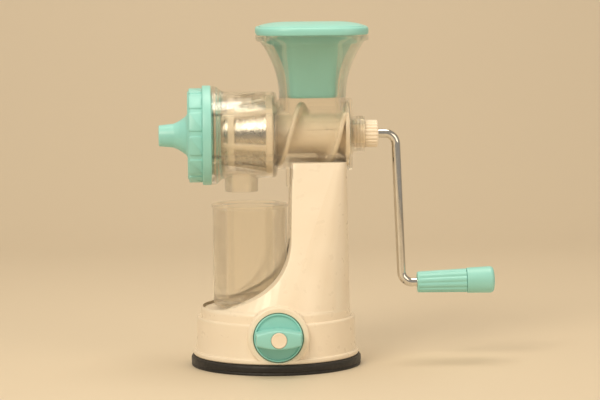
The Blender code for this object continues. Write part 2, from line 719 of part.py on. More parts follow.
def cam_shaft(shop, look):
    """Shaft from the knob to the yoke, with an overhung pin that lifts the yoke."""
    groove_high = POCKET_FLOOR - PLASTIC_WALL - RUNNING
    groove_low = groove_high - CLIP_WIDTH - 2 * GAP
    groove_radius = SHAFT_RADIUS - CLIP_DEPTH
    end = YOKE_HALF_DEPTH + RUNNING
    shaft = turned(shop, "cam_shaft",
                   [(0.0, KNOB_BACK + STUB_LENGTH), (STUB_RADIUS, KNOB_BACK + STUB_LENGTH),
                    (STUB_RADIUS, KNOB_BACK - GAP), (SHAFT_RADIUS, KNOB_BACK - GAP),
                    (SHAFT_RADIUS, groove_high), (groove_radius, groove_high),
                    (groove_radius, groove_low), (SHAFT_RADIUS, groove_low),
                    (SHAFT_RADIUS, end), (0.0, end)], look, "knob_axis", 20)
    pin = rod(shop, "cam_pin", PIN_RADIUS, -end, end + OVERRUN, axis="knob_axis", at=(LIFT, 0.0))
    join(shaft, pin)
    return shaft


def shaft_clip(shop, look):
    """Retaining ring in the shaft's groove, behind the pocket's floor."""
    high = POCKET_FLOOR - PLASTIC_WALL - RUNNING - GAP
    inner = SHAFT_RADIUS - CLIP_DEPTH + GAP
    outer = SHAFT_RADIUS + CLIP_HEIGHT
    return turned(shop, "shaft_clip", [(inner, high), (outer, high), (outer, high - CLIP_WIDTH),
                                       (inner, high - CLIP_WIDTH)], look, "knob_axis", 20)


def bar_outline():
    """The finger bar's face, widest in its middle."""
    reach = KNOB_RADIUS - KNOB_RIM / 2
    upper = []
    for i in range(BAR_STEPS + 1):
        share = 1.0 - 2.0 * i / BAR_STEPS
        swell = math.cos(share * math.pi / 2) ** BAR_SWELL if abs(share) < 1.0 else 0.0
        upper.append((reach * share, BAR_HALF_END + (BAR_HALF_MIDDLE - BAR_HALF_END) * swell))
    clipped = [(x * math.sqrt(max(0.0, 1.0 - (y / KNOB_RADIUS) ** 2)), y) for x, y in upper]
    return clipped + [(-x, -y) for x, y in clipped]


def lock_knob(shop, look):
    """Turquoise knob: a shallow cup with a finger bar across it."""
    knob = turned(shop, "lock_knob",
                  [(0.0, KNOB_RECESS), (KNOB_RADIUS - KNOB_RIM, KNOB_RECESS),
                   (KNOB_RADIUS - KNOB_RIM, KNOB_FRONT - KNOB_RIM / 3),
                   (KNOB_RADIUS - KNOB_RIM / 2, KNOB_FRONT),
                   (KNOB_RADIUS, KNOB_FRONT - KNOB_RIM / 2), (KNOB_RADIUS, KNOB_BACK),
                   (0.0, KNOB_BACK)], look, "knob_axis")
    bar = extruded(shop, "finger_bar", bar_outline(), KNOB_RECESS - OVERRUN / 2, BAR_FRONT,
                   axis="knob_axis")
    join(knob, bar)
    cut(knob,
        rod(shop, "cap_seat", CAP_RADIUS + GAP, SCREW_SEAT, BAR_FRONT + OVERRUN, axis="knob_axis",
            steps=20),
        rod(shop, "stub_bore", STUB_RADIUS + GAP, KNOB_BACK - OVERRUN,
            KNOB_BACK + STUB_LENGTH + GAP, axis="knob_axis"),
        rod(shop, "knob_screw_hole", SCREW_RADIUS + GAP, KNOB_BACK, SCREW_SEAT + OVERRUN,
            axis="knob_axis"))
    return knob


def knob_screw(shop, look):
    """Screw that holds the knob against the shaft's end."""
    seat = SCREW_SEAT + GAP
    low = KNOB_BACK + STUB_LENGTH + GAP
    return turned(shop, "knob_screw",
                  [(0.0, seat + SCREW_HEAD_HEIGHT),
                   (SCREW_HEAD_RADIUS * HEAD_CROWN, seat + SCREW_HEAD_HEIGHT),
                   (SCREW_HEAD_RADIUS, seat + SCREW_HEAD_HEIGHT / 2), (SCREW_HEAD_RADIUS, seat),
                   (SCREW_RADIUS, seat), (SCREW_RADIUS, low), (0.0, low)], look, "knob_axis", 16)


def knob_cap(shop, look):
    """White disc that hides the knob's screw."""
    front = BAR_FRONT + CAP_PROUD
    edge = CAP_PROUD
    return turned(shop, "knob_cap",
                  [(0.0, front), (CAP_RADIUS - edge, front), (CAP_RADIUS, front - edge),
                   (CAP_RADIUS, CAP_BACK), (0.0, CAP_BACK)], look, "knob_axis", 20)


# ---------------------------------------------------------------- clear body

def body_outer_profile():
    """Outside of the chamber, barrel and neck; height runs along +X."""
    flange = BARREL_RADIUS + FLANGE_PROUD
    edge = min(CHAMBER_ROUND, CHAMBER_RADIUS - BARREL_RADIUS)
    shoulder = arc((CHAMBER_RADIUS - edge, CHAMBER_RIGHT - edge), edge, 90.0, 0.0, 3)
    return [(0.0, NECK_END), (NECK_RADIUS, NECK_END),
            (NECK_RADIUS, FLANGE_RIGHT + DISH_DEPTH), (flange - CHAMBER_ROUND, FLANGE_RIGHT),
            (flange, FLANGE_RIGHT), (flange, FLANGE_LEFT), (BARREL_RADIUS, FLANGE_LEFT),
            (BARREL_RADIUS, CHAMBER_RIGHT), *shoulder, (CHAMBER_RADIUS, CHAMBER_LEFT),
            (RIM_RADIUS, CHAMBER_LEFT), (RIM_RADIUS, RIM_LEFT), (0.0, RIM_LEFT)]


def body_bore_profile():
    """Inside of the chamber, barrel and neck."""
    return [(0.0, NECK_END + OVERRUN), (NECK_BORE, NECK_END + OVERRUN), (NECK_BORE, END_WALL),
            (BORE_RADIUS, END_WALL), (BORE_RADIUS, CHAMBER_RIGHT - CLEAR_WALL),
            (CHAMBER_BORE, CHAMBER_RIGHT - CLEAR_WALL), (CHAMBER_BORE, RIM_LEFT - OVERRUN),
            (0.0, RIM_LEFT - OVERRUN)]


def hopper_sections(inset, low, high):
    """Rounded rectangles of the hopper, a straight neck that flares towards the top."""
    sections = []
    start = HOPPER_BASE + HOPPER_STRAIGHT
    heights = [low] + [start + (high - start) * i / LOFT_LEVELS for i in range(LOFT_LEVELS + 1)]
    for z in heights:
        rise = max(0.0, z - HOPPER_BASE) / (HOPPER_TOP - HOPPER_LIP - HOPPER_BASE)
        grow = HOPPER_FLARE * min(rise, FLARE_LIMIT) ** HOPPER_FLARE_POWER
        outline = rounded_rectangle(HOPPER_NECK_X + grow - inset, HOPPER_NECK_Y + grow - inset,
                                    HOPPER_CORNER + grow * CORNER_GROWTH - inset, (HOPPER_X, 0.0))
        sections.append([(x, y, z) for x, y in outline])
    return sections


def hopper_lip_sections():
    """The flat rim round the hopper's mouth."""
    out = HOPPER_FLARE + HOPPER_LIP_OUT
    outline = rounded_rectangle(HOPPER_NECK_X + out, HOPPER_NECK_Y + out,
                                HOPPER_CORNER + out * CORNER_GROWTH, (HOPPER_X, 0.0))
    return [[(x, y, z) for x, y in outline] for z in (HOPPER_TOP - HOPPER_LIP_OUT, HOPPER_TOP)]


def juicer_body(shop, look):
    """Clear moulding: chamber, barrel, neck, hopper, spout, leg and two screw bosses."""
    body = turned(shop, "juicer_body", body_outer_profile(), look, "drive_axis", LARGE_STEPS)
    inside = AXIS_HEIGHT + BORE_RADIUS / 2
    hopper = lofted(shop, "hopper", hopper_sections(0.0, inside, HOPPER_TOP - GAP))
    lip = lofted(shop, "hopper_lip", hopper_lip_sections())
    spout_low = AXIS_HEIGHT - CHAMBER_RADIUS - SPOUT_DROP
    spout_high = AXIS_HEIGHT - CHAMBER_BORE * JOINT_SHARE
    wall_high = AXIS_HEIGHT - BORE_RADIUS * JOINT_SHARE
    spout = rod(shop, "spout", SPOUT_RADIUS, spout_low, spout_high, steps=24, at=(SPOUT_X, 0.0))
    leg_right = column_left_at(BARREL_BOTTOM - LEG_LENGTH) - GAP
    leg = block(shop, "leg",
                (leg_right - LEG_THICKNESS, -LEG_HALF_WIDTH, BARREL_BOTTOM - LEG_LENGTH),
                (leg_right, LEG_HALF_WIDTH, wall_high))
    join(body, hopper, lip, spout, leg)
    for side, x in head_screw_places().items():
        join(body, rod(shop, f"head_boss_{side}", HEAD_BOSS_RADIUS, DECK_LOW + GAP, wall_high,
                       at=(x, 0.0)))
    bore = turned(shop, "body_bore", body_bore_profile(), axis="drive_axis", steps=LARGE_STEPS)
    bore.rotation_euler.z = math.pi / LARGE_STEPS
    throat = lofted(shop, "throat", hopper_sections(CLEAR_WALL, inside, HOPPER_TOP + OVERRUN))
    spout_bore = rod(shop, "spout_bore", SPOUT_RADIUS - SPOUT_WALL, spout_low - OVERRUN,
                     AXIS_HEIGHT, steps=24, at=(SPOUT_X, 0.0))
    cut(body, bore, throat, spout_bore)
    for side, x in head_screw_places().items():
        cut(body, rod(shop, f"head_pilot_{side}", SCREW_RADIUS + GAP, DECK_LOW - OVERRUN,
                      BARREL_BOTTOM - CLEAR_WALL / 2, at=(x, 0.0)))
    return body


def head_screws(shop, look):
    """Two screws from inside the column into the clear body's bosses."""
    shank = BARREL_BOTTOM - CLEAR_WALL / 2 - DECK_LOW - OVERRUN / 2
    head = HEAD_BOSS_RADIUS + CLEAR_WALL
    for side, x in head_screw_places().items():
        screw = turned(shop, f"head_screw_{side}",
                       screw_profile(SCREW_RADIUS, head, SCREW_HEAD_HEIGHT, shank), look, steps=20)
        screw.location = (x, 0.0, DECK_LOW - GAP)


def rear_seal(shop, look):
    """Lip seal round the drive shaft, in the neck."""
    outer, inner = NECK_BORE - GAP, DRIVE_SHAFT_RADIUS + GAP
    low = END_WALL + GAP
    return turned(shop, "rear_seal", [(inner, low + SEAL_WIDTH), (outer, low + SEAL_WIDTH),
                                      (outer, low), (inner, low)], look, "drive_axis", 20)


def rear_bush(shop, look):
    """Plain bearing in the neck."""
    outer, inner = NECK_BORE - GAP, DRIVE_SHAFT_RADIUS + GAP
    low = END_WALL + SEAL_WIDTH + 2 * GAP
    high = NECK_END - GAP
    return turned(shop, "rear_bush", [(inner, high), (outer, high), (outer, low), (inner, low)],
                  look, "drive_axis", 20)


# ---------------------------------------------------------------- auger and strainer

def strainer_radius(x):
    """Outer radius of the perforated cone at x."""
    share = (x - STRAINER_LEFT) / (STRAINER_RIGHT - STRAINER_LEFT)
    return STRAINER_LEFT_RADIUS + (STRAINER_RIGHT_RADIUS - STRAINER_LEFT_RADIUS) * share


def auger_envelope():
    """The space that the flight may fill."""
    full = BORE_RADIUS - AUGER_CLEARANCE - GAP
    inside = STRAINER_SHEET + AUGER_CLEARANCE
    return [(0.0, END_WALL - GAP), (full, END_WALL - GAP), (full, CHAMBER_RIGHT),
            (strainer_radius(STRAINER_RIGHT) - inside - AUGER_CLEARANCE, STRAINER_RIGHT),
            (strainer_radius(STRAINER_LEFT) - inside, STRAINER_LEFT), (0.0, STRAINER_LEFT)]


def flight(shop):
    """Left-handed screw flight, swept round local Z."""
    bm = bmesh.new()
    start = STRAINER_LEFT + FLIGHT_THICKNESS
    travel = END_WALL - AUGER_DISC - start
    steps = math.ceil(travel / FLIGHT_PITCH * FLIGHT_STEPS)
    turn = -2.0 * math.pi * steps / FLIGHT_STEPS
    half_root, half_crest = FLIGHT_THICKNESS * FLIGHT_ROOT_SHARE, FLIGHT_THICKNESS / 2
    inner, outer = CORE_RADIUS / 2, BARREL_RADIUS
    corners = [(inner, -half_root), (outer, -half_crest), (outer, half_crest), (inner, half_root)]
    face = bm.faces.new([bm.verts.new((r, 0.0, start + h)) for r, h in corners])
    geometry = [face, *face.edges, *face.verts]
    bmesh.ops.rotate(bm, verts=bm.verts, matrix=Matrix.Rotation(math.radians(FLIGHT_PHASE), 3, "Z"))
    bmesh.ops.spin(bm, geom=geometry, axis=(0.0, 0.0, 1.0), cent=(0.0, 0.0, 0.0), angle=turn,
                   dvec=(0.0, 0.0, travel / steps), steps=steps)
    return shop.place("flight", mesh_from("flight", bm), None, "drive_axis")


def auger(shop, look):
    """White feed screw: core, one flight and a rear disc."""
    disc = BORE_RADIUS - AUGER_CLEARANCE
    disc_left = END_WALL - GAP - AUGER_DISC
    core = turned(shop, "auger",
                  [(0.0, END_WALL - GAP), (disc, END_WALL - GAP), (disc, disc_left),
                   (CORE_RADIUS + AUGER_DISC, disc_left), (CORE_RADIUS, disc_left - AUGER_DISC),
                   (CORE_RADIUS, STRAINER_RIGHT), (CORE_RADIUS * CORE_LEFT_SHARE, STRAINER_LEFT),
                   (CORE_TIP_RADIUS, CORE_TIP), (0.0, CORE_TIP - CORE_TIP_RADIUS / 2)],
                  look, "drive_axis", 28)
    blade = flight(shop)
    envelope = turned(shop, "envelope", auger_envelope(), axis="drive_axis", steps=LARGE_STEPS)
    boolean(blade, envelope, "INTERSECT")
    cut(core, rod(shop, "auger_bore", DRIVE_SHAFT_RADIUS + GAP, DRIVE_SHAFT_LEFT - GAP,
                  END_WALL + OVERRUN, axis="drive_axis"))
    join(core, blade)
    return core


def auger_shaft(shop, look):
    """Steel shaft from the auger through the neck into the crank nut."""
    return rod(shop, "auger_shaft", DRIVE_SHAFT_RADIUS, DRIVE_SHAFT_LEFT, NUT_MIDDLE - GAP, look,
               "drive_axis")


def strainer_mesh(shop, look):
    """Perforated steel cone."""
    right, left = strainer_radius(STRAINER_RIGHT), strainer_radius(STRAINER_LEFT)
    return turned(shop, "strainer_mesh",
                  [(right - STRAINER_SHEET, STRAINER_RIGHT), (right, STRAINER_RIGHT),
                   (left, STRAINER_LEFT), (left - STRAINER_SHEET, STRAINER_LEFT)], look,
                  "drive_axis")


def frame_ring(shop, name, high, low, reach, look=None):
    """One ring of the strainer's frame, just outside the cone."""
    inner_high, inner_low = strainer_radius(high) + GAP, strainer_radius(low) + GAP
    return turned(shop, name, [(inner_high, high), (inner_high + reach, high),
                               (inner_low + reach, low), (inner_low, low)], look, "drive_axis")


def strainer_frame(shop, look):
    """White cage: three rings and six ribs along the cone."""
    right = STRAINER_RIGHT + FRAME_RING_WIDTH / 6
    frame = frame_ring(shop, "strainer_frame", right, right - FRAME_RING_WIDTH, RING_REACH, look)
    middle = STRAINER_LEFT + FRAME_RING_WIDTH * RING_MIDDLE_SHARE
    left = STRAINER_LEFT + FRAME_RING_WIDTH * RING_LEFT_SHARE
    join(frame, frame_ring(shop, "ring_middle", middle, middle - FRAME_RING_WIDTH, FRAME_THICKNESS))
    join(frame, frame_ring(shop, "ring_left", left, left - FRAME_RING_WIDTH, FRAME_THICKNESS))
    slope = math.atan2(strainer_radius(STRAINER_RIGHT) - strainer_radius(STRAINER_LEFT),
                       STRAINER_RIGHT - STRAINER_LEFT)
    end = left - FRAME_RING_WIDTH * RIB_REACH_SHARE
    span = (right - GAP - end) / 2
    centre = (right - GAP + end) / 2
    for i in range(RIB_COUNT):
        bm = bmesh.new()
        size = Matrix.Diagonal((FRAME_THICKNESS - GAP, RIB_WIDTH, 2 * span, 1.0))
        lean = Matrix.Rotation(slope, 4, "Y")
        out = strainer_radius(centre) + 2 * GAP + FRAME_THICKNESS / 2
        put = Matrix.Translation((out, 0.0, centre))
        turn = Matrix.Rotation(2.0 * math.pi * (i + RIB_PHASE) / RIB_COUNT, 4, "Z")
        bmesh.ops.create_cube(bm, size=1.0, matrix=turn @ put @ lean @ size)
        rib = shop.place(f"frame_rib_{i}", mesh_from(f"frame_rib_{i}", bm), None, "drive_axis")
        join(frame, rib)
    return frame


# ---------------------------------------------------------------- front cap

def front_cap(shop, look):
    """Turquoise ribbed cap with a spigot in the chamber and a flared pulp nozzle."""
    flange = RIM_RADIUS + CAP_FLANGE_PROUD
    flange_right = RIM_LEFT - GAP
    flange_left = flange_right - CAP_FLANGE_WIDTH
    face = flange_left - CAP_DRUM_WIDTH
    spigot = CHAMBER_BORE - RUNNING
    spigot_end = flange_right + CAP_SPIGOT_WIDTH
    groove = spigot - CAP_SEAL_DEPTH - GAP
    seal_middle = flange_right + CAP_SPIGOT_WIDTH / 2
    half_groove = CAP_SEAL_WIDTH / 2 + GAP
    inner = spigot - CAP_SEAL_DEPTH - CLEAR_WALL
    hollow = CAP_DRUM_RADIUS - CLEAR_WALL
    waist = face - NOZZLE_FLARE
    tip = face - NOZZLE_LENGTH
    cap = turned(shop, "front_cap", [
        (inner, spigot_end), (spigot, spigot_end),
        (spigot, seal_middle + half_groove), (groove, seal_middle + half_groove),
        (groove, seal_middle - half_groove), (spigot, seal_middle - half_groove),
        (spigot, flange_right), (flange, flange_right), (flange, flange_left),
        (CAP_DRUM_RADIUS, flange_left), (CAP_DRUM_RADIUS, face + CLEAR_WALL),
        (CAP_DRUM_RADIUS - CLEAR_WALL, face),
        (NOZZLE_ROOT_RADIUS, face),
        (NOZZLE_WAIST_RADIUS * NOZZLE_CREASE_RADIUS, face - NOZZLE_FLARE * NOZZLE_CREASE_DEPTH),
        (NOZZLE_WAIST_RADIUS, waist), (NOZZLE_TIP_RADIUS, tip),
        (NOZZLE_TIP_RADIUS - NOZZLE_WALL, tip), (NOZZLE_WAIST_RADIUS - NOZZLE_WALL, waist),
        (NOZZLE_ROOT_RADIUS - NOZZLE_WALL, face + CLEAR_WALL), (hollow, face + CLEAR_WALL),
        (hollow, flange_left), (inner, flange_left + CLEAR_WALL)], look, "drive_axis", LARGE_STEPS)
    for i in range(CAP_RIB_COUNT):
        angle = 2.0 * math.pi * (i + CAP_RIB_PHASE) / CAP_RIB_COUNT
        out = CAP_DRUM_RADIUS - CAP_RIB_RADIUS * CAP_RIB_SUNK
        rib = rod(shop, f"cap_rib_{i}", CAP_RIB_RADIUS, face + CLEAR_WALL, flange_left + GAP,
                  axis="drive_axis", steps=8, at=(out * math.cos(angle), out * math.sin(angle)))
        join(cap, rib)
    return cap


def front_seal(shop, look):
    """Rubber ring in the cap's groove, against the chamber's bore."""
    middle = RIM_LEFT - GAP + CAP_SPIGOT_WIDTH / 2
    inner = CHAMBER_BORE - RUNNING - CAP_SEAL_DEPTH
    outer = CHAMBER_BORE - GAP
    high, low = middle + CAP_SEAL_WIDTH / 2, middle - CAP_SEAL_WIDTH / 2
    return turned(shop, "front_seal", [(inner, high), (outer, high), (outer, low), (inner, low)],
                  look, "drive_axis")


# ---------------------------------------------------------------- pusher

def pusher_sections(inset, low, high):
    """Rounded rectangles of the plug, from its foot to its collar's start."""
    sections = []
    for level in range(LOFT_LEVELS + 1):
        z = low + (high - low) * level / LOFT_LEVELS
        rise = max(0.0, z - PUSHER_LOW) / (HOPPER_TOP - COLLAR_HEIGHT - PUSHER_LOW)
        grow = PUSHER_FLARE * rise ** PUSHER_FLARE_POWER
        outline = rounded_rectangle(PUSHER_FOOT_X + grow - inset, PUSHER_FOOT_Y + grow - inset,
                                    PUSHER_CORNER + grow * CORNER_GROWTH - inset, (HOPPER_X, 0.0))
        sections.append([(x, y, z) for x, y in outline])
    return sections


def slab(shop, name, half_x, half_y, corner, low, high, look=None):
    """A rounded rectangle over the hopper's centre."""
    outline = rounded_rectangle(half_x, half_y, corner, (HOPPER_X, 0.0))
    return extruded(shop, name, outline, low, high, look)


def pusher(shop, look):
    """Turquoise pusher: a hollow plug with a flange, and the cover in its top."""
    collar_low = HOPPER_TOP - COLLAR_HEIGHT
    grow = PUSHER_FLARE + PUSHER_COLLAR
    out = HOPPER_FLARE + HOPPER_LIP_OUT
    flange_low = HOPPER_TOP + GAP
    flange_top = flange_low + PUSHER_FLANGE
    plug = lofted(shop, "pusher_plug", pusher_sections(0.0, PUSHER_LOW, collar_low + OVERRUN), look)
    collar = slab(shop, "pusher_collar", PUSHER_FOOT_X + grow, PUSHER_FOOT_Y + grow,
                  PUSHER_CORNER + grow * CORNER_GROWTH, collar_low, flange_low + OVERRUN)
    flange = slab(shop, "pusher_flange", HOPPER_NECK_X + out, HOPPER_NECK_Y + out,
                  HOPPER_CORNER + out * CORNER_GROWTH, flange_low, flange_top)
    join(plug, collar, flange)
    well = lofted(shop, "plug_well",
                  pusher_sections(CLEAR_WALL, PUSHER_LOW + CLEAR_WALL, collar_low + CLEAR_WALL))
    mouth = slab(shop, "plug_mouth", PUSHER_FOOT_X + grow - CLEAR_WALL,
                 PUSHER_FOOT_Y + grow - CLEAR_WALL, PUSHER_CORNER + grow * CORNER_GROWTH,
                 collar_low + CLEAR_WALL / 2, flange_top + OVERRUN)
    seat_out = out - PUSHER_TOP_RIM
    seat = slab(shop, "cover_seat", HOPPER_NECK_X + seat_out, HOPPER_NECK_Y + seat_out,
                HOPPER_CORNER + seat_out * CORNER_GROWTH, flange_top - CLEAR_WALL, flange_top + OVERRUN)
    cut(plug, well, mouth, seat)
    pusher_cover(shop, look, seat_out - GAP, flange_top)
    return plug


def pusher_cover(shop, look, out, flange_top):
    """Domed cover, seated in the top of the pusher's flange."""
    low = flange_top - CLEAR_WALL + GAP
    sections = []
    for share in (0.0, 0.25, 0.5, 0.75, 1.0):
        pull = PUSHER_TOP_RIM * COVER_PULL * share ** 2
        z = flange_top + PUSHER_DOME * share
        outline = rounded_rectangle(HOPPER_NECK_X + out - pull, HOPPER_NECK_Y + out - pull,
                                    HOPPER_CORNER + out * CORNER_GROWTH - pull, (HOPPER_X, 0.0))
        sections.append([(x, y, z) for x, y in outline])
    skirt = [(x, y, low) for x, y, _ in sections[0]]
    cover = lofted(shop, "pusher_cover", [skirt, *sections], look)
    inner = out - PUSHER_TOP_RIM * COVER_PULL
    hollow = slab(shop, "cover_hollow", HOPPER_NECK_X + inner, HOPPER_NECK_Y + inner,
                  HOPPER_CORNER + inner * CORNER_GROWTH, low - OVERRUN,
                  flange_top + PUSHER_DOME - CLEAR_WALL)
    cut(cover, hollow)
    return cover


# ---------------------------------------------------------------- crank

def crank_nut(shop, look):
    """White fluted nut between the drive shaft and the crank rod."""
    bm = bmesh.new()
    count = NUT_FLUTES * 4
    rings = ((0.0, 1.0), (NUT_LENGTH - NUT_CHAMFER, 1.0),
             (NUT_LENGTH, 1.0 - NUT_CHAMFER / NUT_RADIUS))
    loops = []
    for height, share in rings:
        loop = []
        for i in range(count):
            turn = 2.0 * math.pi * i / count
            radius = (NUT_RADIUS - NUT_FLUTE_DEPTH * (1.0 + math.cos(NUT_FLUTES * turn)) / 2) * share
            loop.append(bm.verts.new((radius * math.cos(turn), radius * math.sin(turn),
                                      NUT_LEFT + height)))
        loops.append([bm.edges.new((loop[i], loop[(i + 1) % count])) for i in range(count)])
    for below, above in zip(loops, loops[1:]):
        bmesh.ops.bridge_loops(bm, edges=below + above)
    bmesh.ops.holes_fill(bm, edges=loops[0] + loops[-1])
    nut = shop.place("crank_nut", mesh_from("crank_nut", bm), look, "drive_axis")
    cut(nut,
        rod(shop, "nut_shaft_bore", DRIVE_SHAFT_RADIUS + GAP, NUT_LEFT - OVERRUN, NUT_MIDDLE,
            axis="drive_axis"),
        rod(shop, "nut_rod_bore", ROD_RADIUS + GAP, NUT_MIDDLE - OVERRUN, NUT_RIGHT + OVERRUN,
            axis="drive_axis"))
    return nut


def filleted(corners, radius, steps):
    """Points of a path with a round bend at each inner corner."""
    path = [corners[0]]
    for before, corner, after in zip(corners, corners[1:], corners[2:]):
        into, away = (corner - before).normalized(), (after - corner).normalized()
        angle = into.angle(away)
        reach = radius * math.tan(angle / 2)
        start = corner - into * reach
        centre = start + (away - into * into.dot(away)).normalized() * radius
        axis = into.cross(away)
        path += [centre + Matrix.Rotation(angle * i / steps, 3, axis) @ (start - centre)
                 for i in range(steps + 1)]
    path.append(corners[-1])
    return path


def grip_direction():
    """Unit vector along the grip."""
    tilt = math.radians(GRIP_TILT)
    return Vector((math.cos(tilt), 0.0, math.sin(tilt)))


def crank_rod(shop, look):
    """Bent steel rod: stub in the nut, arm, and the spindle that the grip turns on."""
    bottom = Vector((ROD_TOP_X + ROD_LEAN, 0.0, GRIP_HEIGHT))
    spindle = GRIP_START + GRIP_SLEEVE + GRIP_SPIGOT + GAP + RETAINER_LENGTH * RETAINER_BORE
    corners = [Vector((NUT_MIDDLE + GAP, 0.0, AXIS_HEIGHT)), Vector((ROD_TOP_X, 0.0, AXIS_HEIGHT)),
               bottom, bottom + grip_direction() * spindle]
    return wire(shop, "crank_rod", filleted(corners, ROD_BEND, 8), ROD_RADIUS, look, resolution=4)


def crank_grip(shop, look):
    """Turquoise sleeve that turns on the rod."""
    bore = ROD_RADIUS + GAP
    end = GRIP_SLEEVE + GRIP_SPIGOT
    spigot = RETAINER_RADIUS + RUNNING + CLEAR_WALL / 2
    return turned(shop, "crank_grip",
                  [(bore, end), (spigot, end), (spigot, GRIP_SLEEVE - GAP),
                   (GRIP_STEP_RADIUS, GRIP_SLEEVE - GAP), (GRIP_START_RADIUS, GRIP_EDGE),
                   (GRIP_START_RADIUS - GRIP_EDGE, 0.0), (bore, 0.0)], look, "grip_axis", 24)


def grip_end_cap(shop, look):
    """Smooth turquoise end of the grip, over the retainer."""
    spigot = RETAINER_RADIUS + RUNNING + CLEAR_WALL / 2 + GAP
    depth = GRIP_SLEEVE + GRIP_SPIGOT + RETAINER_LENGTH + 3 * RUNNING
    tip = arc((GRIP_END_RADIUS - GRIP_ROUND, GRIP_LENGTH - GRIP_ROUND), GRIP_ROUND, 90.0, 0.0, 3)
    return turned(shop, "grip_end_cap",
                  [(0.0, GRIP_LENGTH), *tip, (GRIP_CAP_RADIUS, GRIP_SLEEVE), (spigot, GRIP_SLEEVE),
                   (spigot, depth), (0.0, depth)], look, "grip_axis", 24)


def grip_retainer(shop, look):
    """Push-on cap at the rod's end that keeps the grip on."""
    low = GRIP_SLEEVE + GRIP_SPIGOT + GAP
    high = low + RETAINER_LENGTH
    depth = low + RETAINER_LENGTH * RETAINER_BORE + GAP
    inner = ROD_RADIUS + GAP
    return turned(shop, "grip_retainer",
                  [(0.0, high), (RETAINER_RADIUS, high), (RETAINER_RADIUS, low), (inner, low),
                   (inner, depth), (0.0, depth)], look, "grip_axis", 24)


# ---------------------------------------------------------------- glass

def juice_glass(shop, look):
    """Clear glass that stands in the bay under the spout."""
    rim = GLASS_RADIUS + GLASS_RIM_PROUD
    inner = GLASS_RADIUS - GLASS_WALL
    foot = arc((GLASS_RADIUS - GLASS_ROUND, GLASS_ROUND), GLASS_ROUND, 0.0, -90.0, 3)
    floor = arc((inner - GLASS_ROUND, GLASS_FLOOR + GLASS_ROUND), GLASS_ROUND, -90.0, 0.0, 3)
    profile = [(inner, GLASS_HEIGHT), (rim, GLASS_HEIGHT), (rim, GLASS_HEIGHT - GLASS_WALL),
               (GLASS_RADIUS, GLASS_HEIGHT - 2 * GLASS_WALL), *foot, (0.0, 0.0),
               (0.0, GLASS_FLOOR), *floor]
    solid = profile[profile.index((0.0, GLASS_FLOOR)):] + profile[:profile.index((0.0, 0.0)) + 1]
    glass = turned(shop, "juice_glass", solid, look)
    glass.location = (GLASS_X, 0.0, GLASS_LOW)
    return glass


def main():
    """Build every piece."""
    clear_scene()
    shop = Workshop()
    shop.axis("knob_axis", (KNOB_X, 0.0, KNOB_HEIGHT), (90.0, 0.0, 0.0))
    shop.axis("drive_axis", (0.0, 0.0, AXIS_HEIGHT), (0.0, 90.0, 0.0))
    grip_start = Vector((ROD_TOP_X + ROD_LEAN, 0.0, GRIP_HEIGHT)) + grip_direction() * GRIP_START
    shop.axis("grip_axis", grip_start, (0.0, 90.0 - GRIP_TILT, 0.0))

    white = finish("white_abs", (0.93, 0.90, 0.84), 0.30)
    turquoise = finish("turquoise_abs", (0.36, 0.72, 0.60), 0.35)
    clear = finish("clear_polycarbonate", (0.92, 0.92, 0.90), 0.05, alpha=0.35)
    rubber = finish("black_rubber", (0.02, 0.02, 0.02), 0.70)
    steel = finish("stainless_steel", (0.62, 0.60, 0.57), 0.30, 1.0)
    chrome = finish("chromed_steel", (0.80, 0.80, 0.80), 0.10, 1.0)
    inner_plastic = finish("grey_acetal", (0.55, 0.55, 0.54), 0.50)

    stand_body(shop, white)
    suction_pad(shop, rubber)
    base_plate(shop, inner_plastic)
    plate_screws(shop, steel)
    lift_yoke(shop, inner_plastic)
    return_spring(shop, steel)
    cam_shaft(shop, steel)
    shaft_clip(shop, steel)
    lock_knob(shop, turquoise)
    knob_screw(shop, steel)
    knob_cap(shop, white)
    juicer_body(shop, clear)
    head_screws(shop, steel)
    rear_seal(shop, rubber)
    rear_bush(shop, inner_plastic)
    auger(shop, white)
    auger_shaft(shop, steel)
    strainer_frame(shop, white)
    strainer_mesh(shop, steel)
    front_cap(shop, turquoise)
    front_seal(shop, rubber)
    pusher(shop, turquoise)
    crank_nut(shop, white)
    crank_rod(shop, chrome)
    crank_grip(shop, turquoise)
    grip_end_cap(shop, turquoise)
    grip_retainer(shop, steel)
    juice_glass(shop, clear)


main()
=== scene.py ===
"""Hand-crank fruit juicer: the visible surfaces, finishes, light and camera.

Lengths are written in millimetres and made metres by MM. Turned profiles are
(radius, height) pairs in a sub-assembly's own frame, whose Z is its axis.
"""

import logging
import math
from dataclasses import dataclass
from enum import Enum
from typing import Callable, Iterable, Optional, Sequence

import bmesh
import bpy
from mathutils import Euler, Matrix, Vector
from mathutils.geometry import interpolate_bezier

